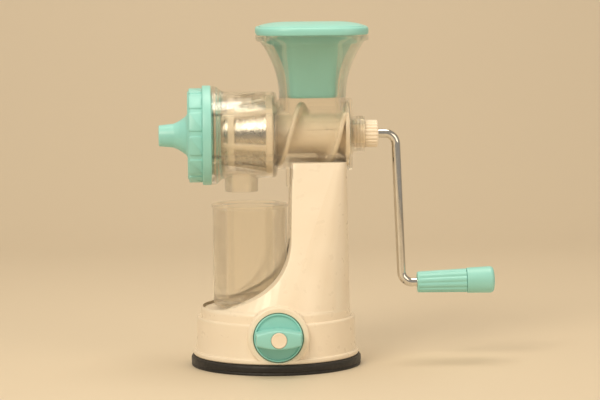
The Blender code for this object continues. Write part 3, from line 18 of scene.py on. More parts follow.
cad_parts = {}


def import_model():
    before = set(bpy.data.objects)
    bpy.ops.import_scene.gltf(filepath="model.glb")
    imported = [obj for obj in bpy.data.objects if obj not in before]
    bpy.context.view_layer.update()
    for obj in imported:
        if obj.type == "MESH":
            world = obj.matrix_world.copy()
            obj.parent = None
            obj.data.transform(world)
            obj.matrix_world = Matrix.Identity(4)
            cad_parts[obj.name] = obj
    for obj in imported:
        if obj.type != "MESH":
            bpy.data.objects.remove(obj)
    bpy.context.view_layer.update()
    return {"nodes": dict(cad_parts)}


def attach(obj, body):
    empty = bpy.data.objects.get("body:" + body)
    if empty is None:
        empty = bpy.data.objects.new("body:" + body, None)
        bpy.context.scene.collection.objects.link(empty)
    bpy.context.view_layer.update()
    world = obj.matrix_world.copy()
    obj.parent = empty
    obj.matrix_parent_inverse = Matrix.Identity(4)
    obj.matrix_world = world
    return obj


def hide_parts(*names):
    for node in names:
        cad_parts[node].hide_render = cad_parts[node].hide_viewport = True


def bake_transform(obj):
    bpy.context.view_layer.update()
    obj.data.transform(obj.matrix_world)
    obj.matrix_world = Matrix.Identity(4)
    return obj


MM = 0.001
GAP = 0.3
AXIS = 206.0
HOPPER_X = 34.1
HOPPER_HALF = (29.4, 25.0)
HOPPER_CORNER = 12.0
PLUG_HALF = (22.3, 18.0)
PLUG_CORNER = 10.0
SPOUT_X = -29.6
GLASS_X = -22.5
HEAD_SCREWS = (28.0, 52.0)
BARREL = 31.4
SHAFT_BORE = 5.3
ROD_BORE = 4.3
LOG = logging.getLogger("juicer")

Point = tuple[float, float]
Corner = tuple[float, float, float]


# ---------------------------------------------------------------- frames

def frame_matrix(place: Sequence[float], turn: Sequence[float] = (0.0, 0.0, 0.0)) -> Matrix:
    """Matrix of a sub-assembly's own frame.

    Args:
        place: Origin in millimetres.
        turn: Rotation about X, Y and Z in degrees.

    Returns:
        The matrix that carries the local frame into the row frame.
    """
    angles = Euler([math.radians(angle) for angle in turn])
    return Matrix.Translation(Vector(place) * MM) @ angles.to_matrix().to_4x4()


WORLD = frame_matrix((0.0, 0.0, 0.0))
DRIVE = frame_matrix((0.0, 0.0, AXIS), (0.0, 90.0, 0.0))
KNOB = frame_matrix((0.0, 0.0, 33.0), (90.0, 0.0, 0.0))


class Operation(Enum):
    """How a tool acts on a piece."""

    JOIN = "UNION"
    CUT = "DIFFERENCE"


# ---------------------------------------------------------------- outlines

def fillet(corners: Sequence[Corner], steps: int = 5, closed: bool = True) -> list[Point]:
    """Round the corners of an outline.

    Args:
        corners: Points as (x, y, radius of the round).
        steps: Segments of each round.
        closed: Whether the last point joins the first.

    Returns:
        The outline's points.
    """
    points: list[Point] = []
    count = len(corners)
    for i, (x, y, radius) in enumerate(corners):
        here = Vector((x, y))
        if radius <= 0.0 or (not closed and i in (0, count - 1)):
            points.append((x, y))
            continue
        before = Vector(corners[i - 1][:2]) - here
        after = Vector(corners[(i + 1) % count][:2]) - here
        angle = before.angle(after)
        if angle > math.pi - 0.01:
            points.append((x, y))
            continue
        reach = radius / math.tan(angle / 2)
        limit = 0.495 * min(before.length, after.length)
        if reach > limit:
            reach = limit
            radius = reach * math.tan(angle / 2)
        into, away = before.normalized(), after.normalized()
        hub = here + (into + away).normalized() * (radius / math.sin(angle / 2))
        start = here + into * reach - hub
        sweep = (here + away * reach - hub).angle_signed(start)
        for step in range(steps + 1):
            turn = sweep * step / steps
            c, s = math.cos(turn), math.sin(turn)
            points.append((hub.x + start.x * c - start.y * s, hub.y + start.x * s + start.y * c))
    return points


def oval(half_x: float, half_y: float, corner: float, centre: Point = (0.0, 0.0),
         steps: int = 14) -> list[Point]:
    """A rounded rectangle whose corners hold every point.

    Args:
        half_x: Half width.
        half_y: Half depth.
        corner: Corner radius.
        centre: Middle of the outline.
        steps: Segments of each corner.

    Returns:
        Points from +X anticlockwise.
    """
    corner = min(corner, half_x * 0.98, half_y * 0.98)
    points = []
    for quarter, (sx, sy) in enumerate(((1, 1), (-1, 1), (-1, -1), (1, -1))):
        hub_x = centre[0] + sx * (half_x - corner)
        hub_y = centre[1] + sy * (half_y - corner)
        for i in range(steps + 1):
            angle = math.radians(90.0 * (quarter + i / steps))
            points.append((hub_x + corner * math.cos(angle), hub_y + corner * math.sin(angle)))
    return points


def ring(z: float, half: Point, corner: float, centre: Point = (0.0, 0.0),
         steps: int = 14) -> list[Corner]:
    """A level rounded rectangle at a height, for a loft.

    Args:
        z: Height.
        half: Half width and half depth.
        corner: Corner radius.
        centre: Middle of the outline.
        steps: Segments of each corner.

    Returns:
        The ring's points.
    """
    return [(x, y, z) for x, y in oval(*half, corner, centre, steps)]


def hopper_ring(z: float, half: Point, corner: float, out: float) -> list[Corner]:
    """A ring over the hopper's centre whose sides and corners stand out by the same amount."""
    return ring(z, (half[0] + out, half[1] + out), corner + out, (HOPPER_X, 0.0))


# ---------------------------------------------------------------- workbench

class Bench:
    """Makes, combines and finishes pieces."""

    @staticmethod
    def link(name: str, bm: bmesh.types.BMesh, place: Matrix) -> bpy.types.Object:
        """Turn a bmesh in millimetres into an object at the origin.

        Args:
            name: Name of the object.
            bm: The bmesh, which is freed.
            place: Frame of the sub-assembly.

        Returns:
            The new object.
        """
        bmesh.ops.scale(bm, vec=(MM, MM, MM), verts=bm.verts)
        bmesh.ops.transform(bm, matrix=place, verts=bm.verts)
        bmesh.ops.remove_doubles(bm, verts=bm.verts, dist=1e-6)
        bmesh.ops.recalc_face_normals(bm, faces=bm.faces)
        mesh = bpy.data.meshes.new(name)
        bm.to_mesh(mesh)
        bm.free()
        made = bpy.data.objects.new(name, mesh)
        bpy.context.scene.collection.objects.link(made)
        return made

    @staticmethod
    def turned(name: str, profile: Sequence[Point], place: Matrix = WORLD, steps: int = 96,
               start: float = 0.0) -> bpy.types.Object:
        """Spin a profile about local Z.

        Args:
            name: Name of the object.
            profile: (radius, height) points; closed unless both ends are on the axis.
            place: Frame of the sub-assembly.
            steps: Segments of the full turn.
            start: Angle of the first segment in degrees.

        Returns:
            The new object.
        """
        bm = bmesh.new()
        verts = [bm.verts.new((radius, 0.0, height)) for radius, height in profile]
        pairs = list(zip(verts, verts[1:]))
        if profile[0][0] > 0.0 or profile[-1][0] > 0.0:
            pairs.append((verts[-1], verts[0]))
        edges = [bm.edges.new(pair) for pair in pairs]
        bmesh.ops.rotate(bm, verts=bm.verts, cent=(0, 0, 0),
                         matrix=Matrix.Rotation(math.radians(start), 3, "Z"))
        bmesh.ops.spin(bm, geom=verts + edges, axis=(0, 0, 1), cent=(0, 0, 0),
                       angle=2 * math.pi, steps=steps, use_merge=True)
        bmesh.ops.remove_doubles(bm, verts=bm.verts, dist=1e-3)
        return Bench.link(name, bm, place)

    @staticmethod
    def rod(name: str, radius: float, high: float, low: float, place: Matrix = WORLD,
            steps: int = 96, start: float = 0.0) -> bpy.types.Object:
        """A plain cylinder along local Z.

        Args:
            name: Name of the object.
            radius: Radius.
            high: Height of the upper end.
            low: Height of the lower end.
            place: Frame of the sub-assembly.
            steps: Segments of the full turn.
            start: Angle of the first segment in degrees.

        Returns:
            The new object.
        """
        return Bench.turned(name, [(0.0, high), (radius, high), (radius, low), (0.0, low)], place,
                            steps, start)

    @staticmethod
    def prism(name: str, outline: Sequence[Point], low: float, high: float,
              place: Matrix = WORLD) -> bpy.types.Object:
        """Extrude a flat outline along local Z.

        Args:
            name: Name of the object.
            outline: Points of the outline.
            low: Height of the first face.
            high: Height of the last face.
            place: Frame of the sub-assembly.

        Returns:
            The new object.
        """
        return Bench.loft(name, [[(x, y, z) for x, y in outline] for z in (low, high)], place)

    @staticmethod
    def loft(name: str, rings: Sequence[Sequence[Sequence[float]]],
             place: Matrix = WORLD) -> bpy.types.Object:
        """Bridge closed rings and close both ends.

        Args:
            name: Name of the object.
            rings: Rings of equal point counts, in order.
            place: Frame of the sub-assembly.

        Returns:
            The new object.
        """
        bm = bmesh.new()
        loops = []
        for ring in rings:
            verts = [bm.verts.new(point) for point in ring]
            loops.append([bm.edges.new((verts[i - 1], verts[i])) for i in range(len(verts))])
        for below, above in zip(loops, loops[1:]):
            bmesh.ops.bridge_loops(bm, edges=below + above)
        for end in (loops[0], loops[-1]):
            bmesh.ops.contextual_create(bm, geom=end)
        return Bench.link(name, bm, place)

    @staticmethod
    def tube(name: str, path: Sequence[Vector], radius: float, place: Matrix = WORLD,
             sides: int = 32, edge: float = 0.0) -> bpy.types.Object:
        """Sweep a circle along a path.

        Args:
            name: Name of the object.
            path: Points in millimetres.
            radius: Radius of the tube.
            place: Frame of the sub-assembly.
            sides: Points round the tube.
            edge: Chamfer at both ends.

        Returns:
            The new object.
        """
        rings = []
        up = Vector((0.0, 1.0, 0.0))
        last = len(path) - 1
        for i, point in enumerate(path):
            along = (path[min(i + 1, last)] - path[max(i - 1, 0)]).normalized()
            side = along.cross(up).normalized()
            up = side.cross(along).normalized()
            rings.append((point, side, up, along, radius))
        if edge > 0.0:
            first, final = rings[0], rings[-1]
            rings.insert(0, (first[0] - first[3] * edge, *first[1:4], radius - edge))
            rings.append((final[0] + final[3] * edge, *final[1:4], radius - edge))
        turns = [2 * math.pi * k / sides for k in range(sides)]
        return Bench.loft(name, [[centre + (side * math.cos(t) + over * math.sin(t)) * wide
                                  for t in turns] for centre, side, over, _, wide in rings], place)

    @staticmethod
    def combine(target: bpy.types.Object, operation: Operation,
                *tools: bpy.types.Object) -> bpy.types.Object:
        """Apply tools to a piece and remove them.

        Args:
            target: The piece.
            operation: What each tool does.
            *tools: Closed objects.

        Returns:
            The piece.
        """
        for tool in tools:
            made = target.modifiers.new(tool.name, "BOOLEAN")
            made.operation = operation.value
            made.object = tool
            made.solver = "EXACT"
        Bench.bake(target)
        for tool in tools:
            bpy.data.objects.remove(tool, do_unlink=True)
        return target

    @staticmethod
    def bake(target: bpy.types.Object) -> None:
        """Make a piece's modifiers part of its mesh."""
        bpy.context.view_layer.update()
        graph = bpy.context.evaluated_depsgraph_get()
        mesh = bpy.data.meshes.new_from_object(target.evaluated_get(graph))
        target.modifiers.clear()
        old, target.data = target.data, mesh
        bpy.data.meshes.remove(old)

    @staticmethod
    def clean(target: bpy.types.Object, angle: float = 0.4, weld: float = 0.02) -> None:
        """Weld slivers and dissolve flat edges that a cut has left.

        Args:
            target: The piece.
            angle: Edges flatter than this, in degrees, are dissolved; 0 keeps them all.
            weld: Distance in millimetres under which points are merged.
        """
        bm = bmesh.new()
        bm.from_mesh(target.data)
        bmesh.ops.remove_doubles(bm, verts=bm.verts, dist=weld * MM)
        bmesh.ops.dissolve_degenerate(bm, edges=bm.edges, dist=weld * MM)
        if angle:
            bmesh.ops.dissolve_limit(bm, angle_limit=math.radians(angle), verts=bm.verts,
                                     edges=bm.edges)
        bm.to_mesh(target.data)
        bm.free()

    @staticmethod
    def soften(target: bpy.types.Object, width: float, angle: float = 35.0,
               segments: int = 3) -> None:
        """Round a piece's sharp edges.

        Args:
            target: The piece.
            width: Bevel width in millimetres.
            angle: Edges sharper than this, in degrees, are rounded.
            segments: Segments of the round.
        """
        bevel = target.modifiers.new("soften", "BEVEL")
        bevel.width = width * MM
        bevel.segments = segments
        bevel.limit_method = "ANGLE"
        bevel.angle_limit = math.radians(angle)
        bevel.use_clamp_overlap = False
        bevel.miter_outer = "MITER_ARC"
        bevel.harden_normals = False
        Bench.bake(target)

    @staticmethod
    def shade(target: bpy.types.Object, angle: float = 32.0) -> None:
        """Shade a piece smooth apart from edges sharper than an angle in degrees."""
        for face in target.data.polygons:
            face.use_smooth = True
        target.data.set_sharp_from_angle(angle=math.radians(angle))


@dataclass
class Assembly:
    """What every sub-assembly shares: its finishes."""

    finishes: dict[str, bpy.types.Material]

    def dress(self, piece: bpy.types.Object, slot: str, body: str, *nodes: str,
              angle: float = 32.0) -> bpy.types.Object:
        """Finish a piece and tie it to the frame.

        Args:
            piece: The piece.
            slot: Material slot of the record, which also names the finish.
            body: Body that the piece rides on, or "" if it is tied to two.
            *nodes: Nodes that the piece stands for.
            angle: Edges sharper than this, in degrees, stay sharp.

        Returns:
            The piece.
        """
        Bench.shade(piece, angle)
        piece.data.materials.clear()
        piece.data.materials.append(self.finishes[slot])
        if body:
            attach(piece, body)
        if nodes:
            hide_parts(*nodes)
        LOG.info("%s: %d faces", piece.name, len(piece.data.polygons))
        return piece


# ---------------------------------------------------------------- finishes

def linear(code: str) -> tuple[float, float, float, float]:
    """Linear colour of an sRGB hex code such as "F4E8D2"."""
    parts = [int(code[i:i + 2], 16) / 255 for i in (0, 2, 4)]
    return (*[p / 12.92 if p <= 0.04045 else ((p + 0.055) / 1.055) ** 2.4 for p in parts], 1.0)


class Graph:
    """A material's nodes, added one by one."""

    def __init__(self, name: str) -> None:
        """Start a material with its Principled shader.

        Args:
            name: Name of the material.
        """
        self.material = bpy.data.materials.new(name)
        self.material.use_nodes = True
        self.tree = self.material.node_tree
        self.shader = self.tree.nodes["Principled BSDF"]

    def add(self, kind: str, links: Optional[dict] = None, **settings: object) -> bpy.types.Node:
        """Add a node.

        Args:
            kind: Type of the node.
            links: Socket name to a value, or to an output socket.
            **settings: Attributes of the node.

        Returns:
            The node.
        """
        node = self.tree.nodes.new(kind)
        for key, value in settings.items():
            setattr(node, key, value)
        for socket, value in (links or {}).items():
            self.feed(node.inputs[socket], value)
        return node

    def feed(self, socket: bpy.types.NodeSocket, value: object) -> None:
        """Set a socket to a value, or link an output to it."""
        if isinstance(value, bpy.types.NodeSocket):
            self.tree.links.new(value, socket)
        else:
            socket.default_value = value

    def set(self, **values: object) -> None:
        """Set the shader's sockets by their names, with _ for a space."""
        for key, value in values.items():
            self.feed(self.shader.inputs[key.replace("_", " ")], value)

    def noise(self, size: float, detail: float = 3.0, stretch: Sequence[float] = (1, 1, 1)
              ) -> bpy.types.NodeSocket:
        """Noise in object space.

        Args:
            size: Feature size in millimetres.
            detail: Octaves.
            stretch: Scale of the pattern along X, Y and Z.

        Returns:
            The factor output.
        """
        place = self.add("ShaderNodeTexCoord").outputs["Object"]
        mapped = self.add("ShaderNodeMapping", {"Vector": place, "Scale": tuple(stretch)})
        return self.add("ShaderNodeTexNoise", {"Vector": mapped.outputs["Vector"],
                                               "Scale": 1.0 / (size * MM),
                                               "Detail": detail}).outputs["Fac"]

    def span(self, value: bpy.types.NodeSocket, low: float, high: float
             ) -> bpy.types.NodeSocket:
        """Carry a noise's middle range to low...high."""
        return self.add("ShaderNodeMapRange", {"Value": value, "From Min": 0.3, "From Max": 0.7,
                                               "To Min": low, "To Max": high}).outputs["Result"]

    def mixed(self, share: bpy.types.NodeSocket, first: object, second: object
              ) -> bpy.types.NodeSocket:
        """Mix two colours by a factor."""
        node = self.add("ShaderNodeMix", data_type="RGBA")
        for index, value in ((0, share), (6, first), (7, second)):
            self.feed(node.inputs[index], value)
        return node.outputs[2]

    def relief(self, depth: float, *heights: bpy.types.NodeSocket) -> None:
        """Drive the shader's normal by bumps of a depth in millimetres."""
        normal: object = None
        for height in heights:
            links = {"Height": height, "Strength": 1.0, "Distance": depth * MM}
            if normal:
                links["Normal"] = normal
            normal = self.add("ShaderNodeBump", links).outputs["Normal"]
        self.set(Normal=normal)


@dataclass(frozen=True)
class MouldedPlastic:
    """Opaque injection-moulded plastic: faint flow mottle and a spark-eroded grain."""

    name: str
    colour: str
    flow: str
    roughness: tuple[float, float]
    grain: float
    depth: float

    def make(self) -> bpy.types.Material:
        """Build the material."""
        graph = Graph(self.name)
        flow = graph.span(graph.noise(38.0, 2.0), 0.0, 1.0)
        handling = graph.span(graph.noise(9.0, 5.0), *self.roughness)
        graph.set(Base_Color=graph.mixed(flow, linear(self.colour), linear(self.flow)),
                  Roughness=handling, IOR=1.53, Coat_Weight=0.0,
                  Specular_IOR_Level=0.5)
        graph.relief(self.depth, graph.noise(self.grain, 2.0))
        return graph.material


@dataclass(frozen=True)
class ClearPlastic:
    """Clear polished polycarbonate with faint scuffs."""

    name: str
    tint: str
    opacity: float

    def make(self) -> bpy.types.Material:
        """Build the material."""
        graph = Graph(self.name)
        scuffs = graph.span(graph.noise(6.0, 8.0, (1.0, 1.0, 0.25)), 0.0, 0.012)
        graph.set(Base_Color=linear(self.tint), Roughness=scuffs, IOR=1.5,
                  Transmission_Weight=1.0, Alpha=self.opacity)
        graph.relief(0.004, graph.noise(22.0, 1.0))
        return graph.material


@dataclass(frozen=True)
class Metal:
    """Drawn or polished steel: fine lines along the work and a little haze."""

    name: str
    colour: str
    roughness: tuple[float, float]
    stretch: tuple[float, float, float]
    line: float
    depth: float

    def make(self) -> bpy.types.Material:
        """Build every sub-assembly, finish the hidden mechanism and build the studio."""
        graph = Graph(self.name)
        haze = graph.span(graph.noise(7.0, 4.0), *self.roughness)
        tone = graph.span(graph.noise(self.line, 3.0, self.stretch), 0.0, 1.0)
        dull = tuple(0.82 * part for part in linear(self.colour)[:3]) + (1.0,)
        graph.set(Base_Color=graph.mixed(tone, linear(self.colour), dull), Roughness=haze,
                  Metallic=1.0)
        graph.relief(self.depth, graph.noise(self.line, 3.0, self.stretch))
        return graph.material


@dataclass(frozen=True)
class Rubber:
    """Moulded black rubber with a dusty bloom."""

    name: str
    colour: str
    bloom: str

    def make(self) -> bpy.types.Material:
        """Build the material."""
        graph = Graph(self.name)
        dust = graph.span(graph.noise(5.0, 6.0), 0.0, 0.6)
        graph.set(Base_Color=graph.mixed(dust, linear(self.colour), linear(self.bloom)),
                  Roughness=graph.span(graph.noise(3.0, 4.0), 0.45, 0.7), IOR=1.5,
                  Sheen_Weight=0.1, Sheen_Roughness=0.5)
        graph.relief(0.05, graph.noise(0.8, 3.0))
        return graph.material


def make_finishes() -> dict[str, bpy.types.Material]:
    """Build every finish.

    Returns:
        Slot name to material.
    """
    kinds = {
        # injection-moulded cream-white ABS, satin tool finish
        "white_abs": MouldedPlastic("cream_abs_moulded", "F6EAD6", "F2E4CE", (0.26, 0.34), 0.5,
                                    0.0),
        # injection-moulded turquoise ABS, fine matt tool finish
        "turquoise_abs": MouldedPlastic("turquoise_abs_moulded", "9ADBD6", "94D6CF", (0.32, 0.46),
                                        0.6, 0.012),
        # polished clear polycarbonate
        "clear_polycarbonate": ClearPlastic("clear_polycarbonate_polished", "FBF6EA", 0.48),
        # compression-moulded nitrile rubber
        "black_rubber": Rubber("black_rubber_moulded", "14110E", "2A2622"),
        # moulded translucent silicone
        "milky_silicone": MouldedPlastic("milky_silicone_moulded", "D9D0BC", "D2C8B2",
                                         (0.42, 0.55), 0.7, 0.01),
        # machined grey acetal
        "grey_acetal": MouldedPlastic("grey_acetal_turned", "9C9A94", "8F8D88", (0.4, 0.5), 0.4,
                                      0.01),
        # stainless steel sheet and screws, satin
        "steel": Metal("stainless_steel_satin", "D2CDC4", (0.2, 0.34), (0.15, 1.0, 1.0), 0.6,
                       0.004),
        # bright chrome on a drawn steel rod
        "chromed_steel": Metal("chromed_steel_bright", "E4E1DA", (0.05, 0.12), (1.0, 1.0, 0.1),
                               1.2, 0.002),
    }
    return {slot: finish.make() for slot, finish in kinds.items()}


# ---------------------------------------------------------------- stand

@dataclass
class Stand(Assembly):
    """White stand: drum base, swept column, glass bay, saddle and knob pocket."""

    pad_radius: float = 76.1
    shell_low: float = 9.3
    lip_radius: float = 74.0
    lip_height: float = 4.5
    drum_radius: float = 70.6
    upper_radius: float = 67.1
    ledge: float = 44.0
    shelf: float = 54.0
    column_top: float = 182.6
    column_right: float = 63.5
    column_left: float = 15.0
    column_half: float = 31.0
    wall: float = 3.0
    bay_floor: float = 53.2
    bay_radius: float = 35.5
    waist: float = 12.7
    waist_rise: float = 58.8
    deck_low: float = 167.5
    pocket: float = 22.1
    pocket_floor: float = 53.9
    boss_front: float = 72.3

    def swoop_line(self, offset: float) -> list[Point]:
        """The concave side of the column as (x, z), moved inwards by an offset.

        Args:
            offset: Distance into the column.

        Returns:
            Points from the shelf to the top.
        """
        start = Vector((-46.0, self.shelf, 0.0))
        waist = Vector((self.waist, self.shelf + self.waist_rise, 0.0))
        low, high = Vector((28.0, 10.0, 0.0)), Vector((2.7, 36.8, 0.0))
        curve = interpolate_bezier(start, start + low, waist - high, waist, 36)
        curve.append(Vector((self.column_left, self.column_top + 2.0, 0.0)))
        curve.insert(0, start - low * 0.4)
        moved = []
        for i, point in enumerate(curve):
            along = (curve[min(i + 1, len(curve) - 1)] - curve[max(i - 1, 0)]).normalized()
            moved.append((point.x + along.y * offset, point.y - along.x * offset))
        return moved

    def swoop(self, name: str, offset: float) -> bpy.types.Object:
        """Everything to the left of the concave side, as a tool."""
        line = self.swoop_line(offset)
        outline = line + [(-160.0, self.column_top + 2.0), (-160.0, line[0][1])]
        return Bench.prism(name, outline, -150.0, 150.0, frame_matrix((0, 0, 0), (90, 0, 0)))

    def bay(self, name: str, extra: float) -> bpy.types.Object:
        """The glass's bay as a tool: a round end and a slot that leaves to the left."""
        radius = self.bay_radius + extra
        turns = [math.radians(-90.0 + 180.0 * i / 48) for i in range(49)]
        outline = [(GLASS_X + radius * math.cos(t), radius * math.sin(t)) for t in turns]
        outline += [(-160.0, radius), (-160.0, -radius)]
        return Bench.prism(name, outline, self.bay_floor - extra,
                           self.shelf + self.waist_rise + extra)

    def column(self, name: str, inset: float, low: float, high: float) -> bpy.types.Object:
        """The column's solid, round at the ledge and a rounded rectangle at its top.

        Args:
            name: Name of the object.
            inset: How far the sides are moved in.
            low: Lowest section.
            high: Highest section.

        Returns:
            The solid.
        """
        middle = (self.column_right + self.column_left) / 2 - self.wall
        top = oval(self.column_right - inset - middle, self.column_half - inset, 10.0,
                   (middle, 0.0))
        count = len(top)
        radius = self.upper_radius - 0.6 - inset
        foot = [(radius * math.cos(2 * math.pi * (i + 0.5) / count),
                 radius * math.sin(2 * math.pi * (i + 0.5) / count)) for i in range(count)]
        rings = []
        levels = 20
        for level in range(levels + 1):
            z = low + (high - low) * level / levels
            share = (z - self.ledge) / (self.column_top - self.ledge)
            rings.append([(a[0] + (b[0] - a[0]) * share, a[1] + (b[1] - a[1]) * share, z)
                          for a, b in zip(foot, top)])
        return Bench.loft(name, rings)

    def shell(self) -> bpy.types.Object:
        """The white shell.

        Returns:
            The piece.
        """
        foot = self.shell_low + self.lip_height
        profile = fillet([
            (0.0, self.shelf, 0.0), (self.upper_radius, self.shelf, 4.0),
            (self.upper_radius, self.ledge, 0.5), (self.drum_radius, self.ledge, 1.75),
            (self.drum_radius + 0.8, foot, 0.6), (self.lip_radius, foot, 2.2),
            (self.lip_radius, self.shell_low, 1.6), (0.0, self.shell_low, 0.0)], 5)
        stand = Bench.turned("stand_shell", profile, steps=144)
        column = self.column("column", 0.0, self.ledge - 2.0, self.column_top)
        Bench.combine(column, Operation.CUT, self.swoop("swoop", 0.0))
        boss = Bench.turned("knob_boss", fillet([
            (0.0, self.boss_front, 0.0), (self.pocket + 4.9, self.boss_front, 1.6),
            (self.pocket + 4.9, 49.0, 0.0), (0.0, 49.0, 0.0)], 4), KNOB, 96)
        trim = Bench.prism("boss_trim", [(-90, -150), (90, -150), (90, 150), (-90, 150)], -60.0,
                           self.shell_low + self.lip_height / 2)
        Bench.combine(boss, Operation.CUT, trim)
        Bench.combine(stand, Operation.JOIN, column, boss)

        def pocket_wall(name: str) -> bpy.types.Object:
            """The wall kept round the knob's pocket, as a tool."""
            return Bench.rod(name, self.pocket + self.wall, 150.0,
                             self.pocket_floor - self.wall, KNOB, 64)

        inner = self.drum_radius - self.wall
        drum_hollow = Bench.turned("drum_hollow", [
            (0.0, self.shelf - 3), (self.upper_radius - 3, self.shelf - 3),
            (self.upper_radius - 3, self.ledge - 3), (inner, self.ledge - 6.5),
            (inner, 7.0), (0.0, 7.0)], steps=72)
        Bench.combine(drum_hollow, Operation.CUT, pocket_wall("pocket_wall_a"))
        column_hollow = self.column("column_hollow", self.wall, self.ledge + 2.0, self.deck_low)
        Bench.combine(column_hollow, Operation.CUT, self.swoop("swoop_wall", self.wall),
                      self.bay("bay_wall", self.wall), pocket_wall("pocket_wall_b"))
        Bench.combine(stand, Operation.CUT, drum_hollow, column_hollow)
        saddle = Bench.rod("saddle", BARREL + GAP, 160, 0, DRIVE, 128)
        relief = Bench.rod("relief", BARREL + 1.1, 69, 62.9, DRIVE, 120)
        pocket = Bench.turned("pocket", fillet([
            (0, 150, 0), (self.pocket, 150, 0), (self.pocket, self.pocket_floor, 1.0),
            (0, self.pocket_floor, 0)]), KNOB, 96)
        shaft = Bench.rod("shaft_hole", 6.8, 56, 47.9, KNOB, 32)
        holes = [Bench.rod(f"head_hole_{x}", 5.3, AXIS, 165.5, frame_matrix((x, 0, 0)), 32)
                 for x in HEAD_SCREWS]
        Bench.combine(stand, Operation.CUT, self.bay("bay", 0.0), saddle, relief, pocket, shaft,
                      *holes)
        Bench.clean(stand, 0.25)
        Bench.soften(stand, 0.8, 38.0)
        return stand

    def pad(self) -> bpy.types.Object:
        """Suction pad with its rim bead and sealing lip."""
        return Bench.turned("suction_disc", fillet([
            (0, 3, 0), (63.1, 3, 1.5), (66.1, 9, 1.0), (self.pad_radius, 9, 2.4),
            (self.pad_radius, 3.4, 1.0), (self.pad_radius - 0.9, 2.6, 0.6),
            (self.pad_radius, 1.4, 0.8), (self.pad_radius - 0.4, 0, 0.4), (60.0, 0, 1.0),
            (58.0, 0.9, 1.0), (0, 1.2, 0)], 4), steps=144)

    def hub(self) -> bpy.types.Object:
        """Hub ring that the lifter pulls up."""
        return Bench.turned("suction_hub", fillet([
            (11.3, 3.15, 0.2), (11.3, 6.3, 0.3), (14.3, 6.3, 0.8), (17.0, 3.15, 0.4)], 3),
            steps=64)

    def spring(self) -> bpy.types.Object:
        """Coil between the pad's hub and the base plate."""
        low, high, turns = 7.3, 18.0, 3
        path = []
        for i in range(turns * 24 + 1):
            angle = 2 * math.pi * i / 24
            path.append(Vector((7.7 * math.cos(angle), 7.7 * math.sin(angle),
                                low + (high - low) * i / (turns * 24))))
        return Bench.tube("return_coil", path, 0.7, sides=10, edge=0.2)

    def build(self) -> None:
        """Build and dress the stand and its suction pad."""
        self.dress(self.shell(), "white_abs", "base", "stand_body")
        self.dress(self.pad(), "black_rubber", "base", "suction_pad")
        self.dress(self.hub(), "black_rubber", "lifter", "suction_pad")
        spring = self.dress(self.spring(), "steel", "", "return_spring")
        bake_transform(spring)


# ---------------------------------------------------------------- lock knob

@dataclass
class LockKnob(Assembly):
    """Turquoise knob with a tall finger bar and a white cap."""

    radius: float = 21.5
    back: float = 54.5
    front: float = 72.0
    disc: float = 70.0
    bar_front: float = 88.5
    half_middle: float = 8.75
    half_end: float = 5.25

    def bar_outline(self, shrink: float) -> list[Point]:
        """The finger bar's outline, widest in its middle.

        Args:
            shrink: How far the outline is drawn in.

        Returns:
            The outline's points.
        """
        upper = []
        steps = 28
        for i in range(steps + 1):
            share = 1.0 - 2.0 * i / steps
            swell = max(0.0, math.cos(share * math.pi / 2)) ** 0.8
            y = self.half_end + (self.half_middle - self.half_end) * swell - shrink
            reach = self.radius - 0.8 - shrink
            x = reach * share * math.sqrt(max(0.0, 1.0 - (y / self.radius) ** 2))
            upper.append((x, y))
        return upper + [(-x, -y) for x, y in upper]

    def knob(self) -> bpy.types.Object:
        """Cup, disc and finger bar as one moulding.

        Returns:
            The piece.
        """
        knob = Bench.turned("knob_moulding", fillet([
            (0, self.disc, 0), (19.9, self.disc, 0.8), (19.9, self.front, 0.6),
            (self.radius, self.front, 0.8), (self.radius, self.back, 0.6), (0, self.back, 0)], 4),
            KNOB, 96)
        rings = []
        top = self.bar_front
        for shrink, height in ((0.0, self.disc - 1.0), (0.0, self.disc + 1.0), (0.35, top - 2.2),
                               (0.55, top - 1.1), (1.1, top - 0.35), (1.9, top)):
            rings.append([(x, y, height) for x, y in self.bar_outline(shrink)])
        bar = Bench.loft("finger_bar", rings, KNOB)
        Bench.combine(knob, Operation.JOIN, bar)
        return Bench.combine(knob, Operation.CUT, Bench.rod("cap_seat", 7.2, 95, 77.5, KNOB, 48),
                             Bench.rod("stub_bore", 3.3, 74.8, 50, KNOB, 32),
                             Bench.rod("screw_hole", 2.0, 79, 60, KNOB, 24))

    def cap(self) -> bpy.types.Object:
        """White cap with a shallow dished face."""
        return Bench.turned("knob_button", fillet([
            (0, 88.7, 0), (4.6, 88.8, 1.5), (5.6, 89.1, 0.8), (6.9, 89.1, 0.8), (6.9, 83.1, 0.3),
            (0, 83.1, 0)], 4), KNOB, 64)

    def build(self) -> None:
        """Build and dress the knob."""
        self.dress(self.knob(), "turquoise_abs", "lock", "lock_knob")
        self.dress(self.cap(), "white_abs", "lock", "knob_cap")


# ---------------------------------------------------------------- clear body

